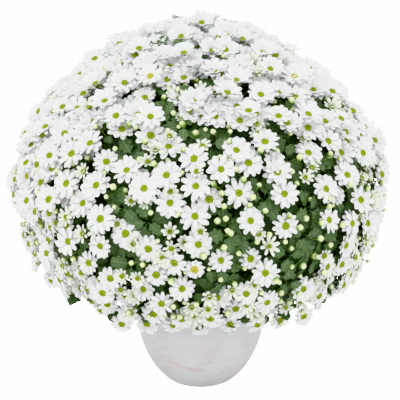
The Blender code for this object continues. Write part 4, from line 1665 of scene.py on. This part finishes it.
@functools.cache
def clay_material():
    """Whitewashed clay: brushed bands, chips, cracks, and scuffs of bare terracotta."""
    looks = bpy.context.scene.pot_looks
    tools = Surface("whitewashed_clay", 0.8)
    place = tools.object_place()
    grain = tools.group(grain_group(), Place=place, Scale=420.0, Pores=0.35)
    bands = tools.noise(place, (14, 14, 190), 4.0, 0.6)
    ragged = tools.noise(place, (150, 150, 420), 5.0, 0.7)
    worn = scuff_mask(tools, place) * tools.between(ragged, 0.44, 0.56)
    thin_coat = tools.between(tools.noise(place, 22.0, 3.0, 0.6), 0.42, 0.66, 0.0, 0.85)
    coat = tools.mix(thin_coat, looks.whitewash, looks.blush)
    grimy = tools.between(bands, 0.50, 0.72) * tools.between(grain["Shade"], 0.35, 0.65)
    washed = tools.mix(grimy * 0.30, coat, looks.grime)
    chips = tools.between(tools.noise(place, (40, 40, 260), 3.0, 0.7), 0.66, 0.72)
    off_line = abs(tools.noise(place, (16, 16, 120), 3.0, 0.5) - 0.5)
    crazed = tools.between(tools.noise(place, 26.0, 2.0, 0.5), 0.52, 0.62)
    cracks = tools.between(off_line, 0.004, 0.014, 1.0, 0.0) * crazed
    marked = tools.mix(tools.math("MAXIMUM", chips * 0.45, cracks * 0.40), washed, looks.grime)
    colour = tools.mix(worn * 0.60, marked, looks.terracotta)
    roughness = tools.between(bands, 0.3, 0.7, 0.72, 0.88)
    lowered = tools.math("MAXIMUM", chips, cracks) + worn
    height = bands * 0.8 + grain["Height"] * 0.25 - lowered
    return tools.finished(colour, roughness, height, 0.55, 0.0009)


@functools.cache
def peat_material():
    """Dark damp peat with a few pale crumbs."""
    looks = bpy.context.scene.pot_looks
    tools = Surface("potting_mix", 0.95)
    place = tools.object_place()
    grain = tools.group(grain_group(), Place=place, Scale=520.0, Pores=0.8)
    specks = tools.between(tools.cells(place, 230.0), 0.12, 0.16, 1.0, 0.0)
    brown = tools.mix(tools.between(grain["Shade"], 0.3, 0.7), looks.peat, looks.peat_dry)
    colour = tools.mix(specks * 0.5, brown, looks.specks)
    roughness = tools.between(grain["Height"], 0.2, 0.8, 0.8, 1.0)
    return tools.finished(colour, roughness, grain["Height"], 1.0, 0.0015)


# Pieces


def new_piece(name, heap, material, nodes):
    """Makes a mesh a piece that rides on the body and stands for CAD nodes."""
    piece = bpy.data.objects.new(name, heap.mesh(name))
    piece.data.materials.append(material)
    bpy.context.scene.collection.objects.link(piece)
    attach(piece, BODY)
    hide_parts(*nodes)
    return piece


def make_sides(context, number, name, material, grow):
    """Makes one piece for each side of the bush, each from random draws of its own."""
    plan = plan_of(context)
    for i, side in enumerate(SIDES):
        heap = Heap()
        draw = np.random.default_rng(EXTRA_SEED * 1000 + i * 10 + number)
        grow(heap, draw, plan[side], context.scene.bush_sizes)
        nodes = [f"spray_{k + 1:02d}" for k in plan[side].sprays]
        new_piece(f"{name}_{side}", heap, material, nodes)
    return {"FINISHED"}


def of_kind(part, *kinds):
    return [growth for growth in part.growths if growth.kind in kinds]


class MakePot(bpy.types.Operator):
    """Turns the whitewashed clay pot and bores its drain holes"""

    bl_idname = "chrysanthemum.make_pot"
    bl_label = "Clay pot"

    def execute(self, context):
        heap = Heap()
        heap.add_sheet(closed(brushed_relief(turned_points(pot_profile(), POT_SIDES))), 0)
        pot = new_piece("clay_pot", heap, clay_material(), ["pot"])
        bm = bmesh.new()
        bm.from_mesh(pot.data)
        bmesh.ops.remove_doubles(bm, verts=bm.verts, dist=0.00001)
        bmesh.ops.dissolve_degenerate(bm, edges=bm.edges, dist=0.000001)
        bmesh.ops.recalc_face_normals(bm, faces=bm.faces)
        bm.to_mesh(pot.data)
        bm.free()
        bore_drain_holes(pot)
        pot.data.uv_layers.remove(pot.data.uv_layers[0])
        pot.data.shade_smooth()
        pot.data.set_sharp_from_angle(angle=math.radians(50))
        return {"FINISHED"}


def add_crumb(heap, draw, middle, size):
    """One rough crumb of soil."""
    points = turned_points(CRUMB_PROFILE, CRUMB_SIDES)
    points = closed(points * (1 + CRUMB_ROUGHNESS * draw.uniform(-1, 1, points.shape)))
    points[0], points[-1] = points[0, 0], points[-1, 0]
    heap.add_sheet(points * size + middle, 0)


class MakeSoil(bpy.types.Operator):
    """Fills the pot with crumbly potting mix"""

    bl_idname = "chrysanthemum.make_soil"
    bl_label = "Potting mix"

    def execute(self, context):
        draw = np.random.default_rng(EXTRA_SEED)
        wall = POT_WALL + CLEARANCE
        foot = POT_FLOOR + CLEARANCE
        edge = pot_radius(SOIL_TOP, wall)
        side = [(pot_radius(h, wall), h) for h in np.linspace(foot, SOIL_TOP, 8)[:-1]]
        top = [(edge * share, mound_height(share)) for share in np.linspace(1, 0, 22)]
        points = turned_points([(0.0, foot)] + side + top, SOIL_SIDES)
        x, y, height = points[..., 0], points[..., 1], points[..., 2]
        lumps = np.sin(x * 310) * np.sin(y * 290 + 1)
        lumps += 0.6 * np.sin(x * 700 + y * 500) * np.sin(y * 810)
        inner = np.clip((edge - np.hypot(x, y)) / 0.006, 0, 1) * (height > SOIL_TOP - 0.001)
        points[..., 2] += LUMP_HEIGHT * lumps * inner
        heap = Heap()
        heap.add_sheet(points, 0)
        for _ in range(context.scene.pot_looks.crumbs):
            angle = draw.uniform(0, 2 * math.pi)
            reach = edge * 0.96 * math.sqrt(draw.uniform(0, 1))
            height = mound_height(reach / edge) + 0.0006
            middle = np.array([reach * math.cos(angle), reach * math.sin(angle), height])
            add_crumb(heap, draw, middle, draw.uniform(*CRUMB_SIZES))
        new_piece("potting_mix", heap, peat_material(), ["soil"])
        return {"FINISHED"}


class MakeStems(bpy.types.Operator):
    """Grows the main stems out of the soil and their branches to each spray"""

    bl_idname = "chrysanthemum.make_stems"
    bl_label = "Stems and branches"

    def execute(self, context):
        heap = Heap()
        crowns = []
        for i in range(STEMS):
            angle = STEM_START + i * 2 * math.pi / STEMS
            out = Vector((math.cos(angle), math.sin(angle), 0))
            route = [
                out * away + Vector((0, 0, SOIL_TOP + height)) for away, height in STEM_ROUTE
            ]
            add_tube(heap, route, np.array(STEM_SWELLING) * STEM_RADIUS, 12, i)
            crowns.append(route[-1])
        for i, tip in enumerate(plan_of(context)["tips"]):
            crown = min(crowns, key=lambda point: (point - tip).length)
            control = (crown + tip) / 2 + Vector((0, 0, -BRANCH_SAG))
            route = bent(crown, control, tip, BRANCH_STEPS)
            add_tube(heap, route, np.linspace(*BRANCH_RADII, BRANCH_STEPS), 6, i % 16)
        new_piece("main_stems", heap, bark_material(), ["leafy_heart"])
        return {"FINISHED"}


class MakeHeart(bpy.types.Operator):
    """Grows the close inner leaves that fill the bush"""

    bl_idname = "chrysanthemum.make_heart"
    bl_label = "Inner leaves"

    def execute(self, context):
        draw = np.random.default_rng(EXTRA_SEED + 1)
        rng = random.Random(EXTRA_SEED + 1)
        polar = np.linspace(0.0, HEART_SKIRT, HEART_ROWS)[::-1]
        azimuth = np.linspace(0, 2 * math.pi, HEART_SIDES + 1)
        points = [[tuple(dome_point(p, -a, CORE_INSET)) for a in azimuth] for p in polar]
        points = np.array(points)
        bumps = closed(HEART_BUMPS * draw.uniform(-1, 1, points.shape[:2]))
        bumps[-1] = 0
        middle = np.array([0, 0, DOME_MIDDLE])
        points = middle + (points - middle) * (1 + bumps / HEART_RADIUS)[..., None]
        underside = np.broadcast_to(points[0].mean(0), points[0].shape)
        heap = Heap()
        # The core sheet and the inner leaves take the map's last row, which carries the darkest
        # painted shade.
        heap.add_sheet(points, 15)
        heap.add_sheet(np.stack([underside, points[0]]), 15)
        size = context.scene.bush_sizes.leaf * INNER_LEAF_SCALE
        for leaf in layered_leaves(INNER_LEAVES, INNER_INSETS, HEART_SKIRT, size, 3, rng):
            add_leaf(heap, leaf, draw, draw.integers(12, 16))
        new_piece("inner_leaves", heap, leaf_material(), ["leafy_heart"])
        return {"FINISHED"}


def grow_leaves(heap, draw, part, sizes):
    for leaf in part.leaves:
        # The row of the map, chosen by the leaf's depth, sets its painted shade.
        add_leaf(heap, leaf, draw, draw.integers(0, 4) + 4 * leaf.depth)


class MakeLeaves(bpy.types.Operator):
    """Grows the lobed leaves in the gaps and under the blooms"""

    bl_idname = "chrysanthemum.make_leaves"
    bl_label = "Leaves"

    def execute(self, context):
        return make_sides(context, 1, "leaves", leaf_material(), grow_leaves)


def grow_stalks(heap, draw, part, sizes):
    for growth in part.growths:
        cell = draw.integers(0, 16)
        add_stalk(heap, growth, sizes.stalk, cell)
        if growth.kind == "bud":
            size = sizes.bud * growth.reach
            add_calyx(heap, growth, BUD_CALYX_PROFILE, size, cell, BUD_CALYX_POINTS)
        else:
            add_calyx(heap, growth, CALYX_PROFILE, 1.0, cell, CALYX_POINTS)


class MakeStalks(bpy.types.Operator):
    """Grows a stalk and a green cup under every bloom and bud"""

    bl_idname = "chrysanthemum.make_stalks"
    bl_label = "Stalks and cups"

    def execute(self, context):
        return make_sides(context, 2, "stalks", stalk_material(), grow_stalks)


def grow_open_blooms(heap, draw, part, sizes):
    for growth in of_kind(part, "bloom"):
        rings = open_rings(draw, sizes.disc, sizes.petal_width, growth.cupped)
        add_petals(heap, draw, growth, rings, np.arange(0, 12))


class MakeOpenBlooms(bpy.types.Operator):
    """Opens the white petals of the full blooms"""

    bl_idname = "chrysanthemum.make_open_blooms"
    bl_label = "Open blooms"

    def execute(self, context):
        material = petal_material()
        return make_sides(context, 3, "open_blooms", material, grow_open_blooms)


def grow_half_open_blooms(heap, draw, part, sizes):
    for growth in of_kind(part, "young"):
        rings = cupped_rings(draw, sizes.disc, sizes.petal_width)
        add_petals(heap, draw, growth, rings, np.arange(12, 16))


class MakeHalfOpenBlooms(bpy.types.Operator):
    """Cups the greenish white petals of the half-open blooms"""

    bl_idname = "chrysanthemum.make_half_open_blooms"
    bl_label = "Half-open blooms"

    def execute(self, context):
        name = "half_open_blooms"
        grow = grow_half_open_blooms
        return make_sides(context, 4, name, petal_material(), grow)


def grow_discs(heap, draw, part, sizes):
    """A disc for each bloom, a few of them golden, and smaller ones in the half-open blooms."""
    shape = disc_shape()
    for growth in of_kind(part, "bloom", "young"):
        full = growth.kind == "bloom"
        golden = draw.uniform(0, 1) < GOLDEN_SHARE and full
        cell = draw.integers(12, 16) if golden else draw.integers(0, 12)
        radius = sizes.disc * draw.uniform(*(DISC_SHARES if full else YOUNG_DISC_SHARES))
        add_disc(heap, growth, shape, radius, DISC_LIFT if full else YOUNG_DISC_LIFT, cell)


class MakeDiscs(bpy.types.Operator):
    """Sets the yellow-green disc of florets in every bloom"""

    bl_idname = "chrysanthemum.make_discs"
    bl_label = "Discs"

    def execute(self, context):
        return make_sides(context, 5, "discs", disc_material(), grow_discs)


def grow_buds(heap, draw, part, sizes):
    for growth in of_kind(part, "bud"):
        add_bud(heap, growth, sizes.bud, draw.integers(0, 16))


class MakeBuds(bpy.types.Operator):
    """Rounds the closed buds"""

    bl_idname = "chrysanthemum.make_buds"
    bl_label = "Buds"

    def execute(self, context):
        return make_sides(context, 6, "buds", bud_material(), grow_buds)


# Studio


def aimed(name, data, place, target):
    """A camera or a light at a place, turned towards its target."""
    thing = bpy.data.objects.new(name, data)
    thing.location = place
    thing.rotation_euler = (thing.location - Vector(target)).to_track_quat("Z", "Y").to_euler()
    bpy.context.scene.collection.objects.link(thing)
    return thing


def soft_light(name, place, size, power):
    lamp = bpy.data.lights.new(name, "AREA")
    lamp.shape = "DISK"
    lamp.size = size
    lamp.energy = power
    aimed(name, lamp, place, (0, 0, DOME_MIDDLE))


def make_camera(studio):
    data = bpy.data.cameras.new("camera")
    data.lens = studio.lens
    data.sensor_width = SENSOR
    away = Vector((0, -math.cos(studio.elevation), math.sin(studio.elevation)))
    place = Vector((0, 0, DOME_MIDDLE)) + away * studio.distance
    bpy.context.scene.camera = aimed("camera", data, place, AIM)


def make_floor(studio):
    mesh = bpy.data.meshes.new("floor")
    bm = bmesh.new()
    bmesh.ops.create_grid(bm, x_segments=1, y_segments=1, size=6.0)
    bm.to_mesh(mesh)
    bm.free()
    tools = Surface("floor", 0.9)
    faint = tools.between(tools.noise(tools.object_place(), 1.5), 0.2, 0.8, 0.0, 0.03)
    colour = tools.mix(faint, studio.floor, (0.94, 0.94, 0.94))
    glow = tools.mix(tools.add("LightPath", output="Is Camera Ray"), (0, 0, 0), (1, 1, 1))
    tools.fill(tools.shader, Base_Color=colour, Emission_Color=glow, Emission_Strength=studio.glow)
    mesh.materials.append(tools.material)
    floor = bpy.data.objects.new("floor", mesh)
    bpy.context.scene.collection.objects.link(floor)
    floor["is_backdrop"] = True


class MakeStudio(bpy.types.Operator):
    """Sets the camera, the pale floor and the soft light"""

    bl_idname = "chrysanthemum.make_studio"
    bl_label = "Studio"

    def execute(self, context):
        studio = context.scene.studio_looks
        make_camera(studio)
        make_floor(studio)
        soft_light("key_light", (-0.9, -1.1, 2.6), 1.8, studio.key)
        soft_light("fill_light", (1.7, -1.2, 1.2), 1.8, studio.fill)
        soft_light("low_light", (0.1, -2.2, 0.25), 1.6, studio.low)
        world = bpy.data.worlds.new("studio")
        world.use_nodes = True
        background = world.node_tree.nodes["Background"].inputs
        background["Color"].default_value = (1, 1, 1, 1)
        background["Strength"].default_value = studio.sky
        context.scene.world = world
        context.scene.view_settings.view_transform = "Khronos PBR Neutral"
        return {"FINISHED"}


OPERATORS = (
    MakeStudio,
    MakePot,
    MakeSoil,
    MakeStems,
    MakeHeart,
    MakeLeaves,
    MakeStalks,
    MakeOpenBlooms,
    MakeHalfOpenBlooms,
    MakeDiscs,
    MakeBuds,
)
GROUPS = (
    ("bush_sizes", BushSizes),
    ("bush_colours", BushColours),
    ("pot_looks", PotLooks),
    ("studio_looks", StudioLooks),
)


class ChrysanthemumPanel(bpy.types.Panel):
    """Lists the sizes, the colours and the steps"""

    bl_idname = "VIEW3D_PT_chrysanthemum"
    bl_label = "Pot chrysanthemum"
    bl_space_type = "VIEW_3D"
    bl_region_type = "UI"
    bl_category = "Chrysanthemum"

    def draw(self, context):
        for name, group in GROUPS:
            box = self.layout.box()
            for prop in group.__annotations__:
                box.prop(getattr(context.scene, name), prop)
        for operator in OPERATORS:
            self.layout.operator(operator.bl_idname)


def register():
    for name, group in GROUPS:
        bpy.utils.register_class(group)
        setattr(bpy.types.Scene, name, bpy.props.PointerProperty(type=group))
    for cls in (*OPERATORS, ChrysanthemumPanel):
        bpy.utils.register_class(cls)


def unregister():
    for cls in (ChrysanthemumPanel, *reversed(OPERATORS)):
        bpy.utils.unregister_class(cls)
    for name, group in reversed(GROUPS):
        delattr(bpy.types.Scene, name)
        bpy.utils.unregister_class(group)


def main():
    register()
    for operator in OPERATORS:
        step = operator.bl_idname.split(".")[1]
        getattr(bpy.ops.chrysanthemum, step)()
    boxes = {"cad": CAD_BOX, "visual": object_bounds()}
    {name: [list(corner) for corner in box] for name, box in boxes.items()}


if __name__ == "__main__":
    main()
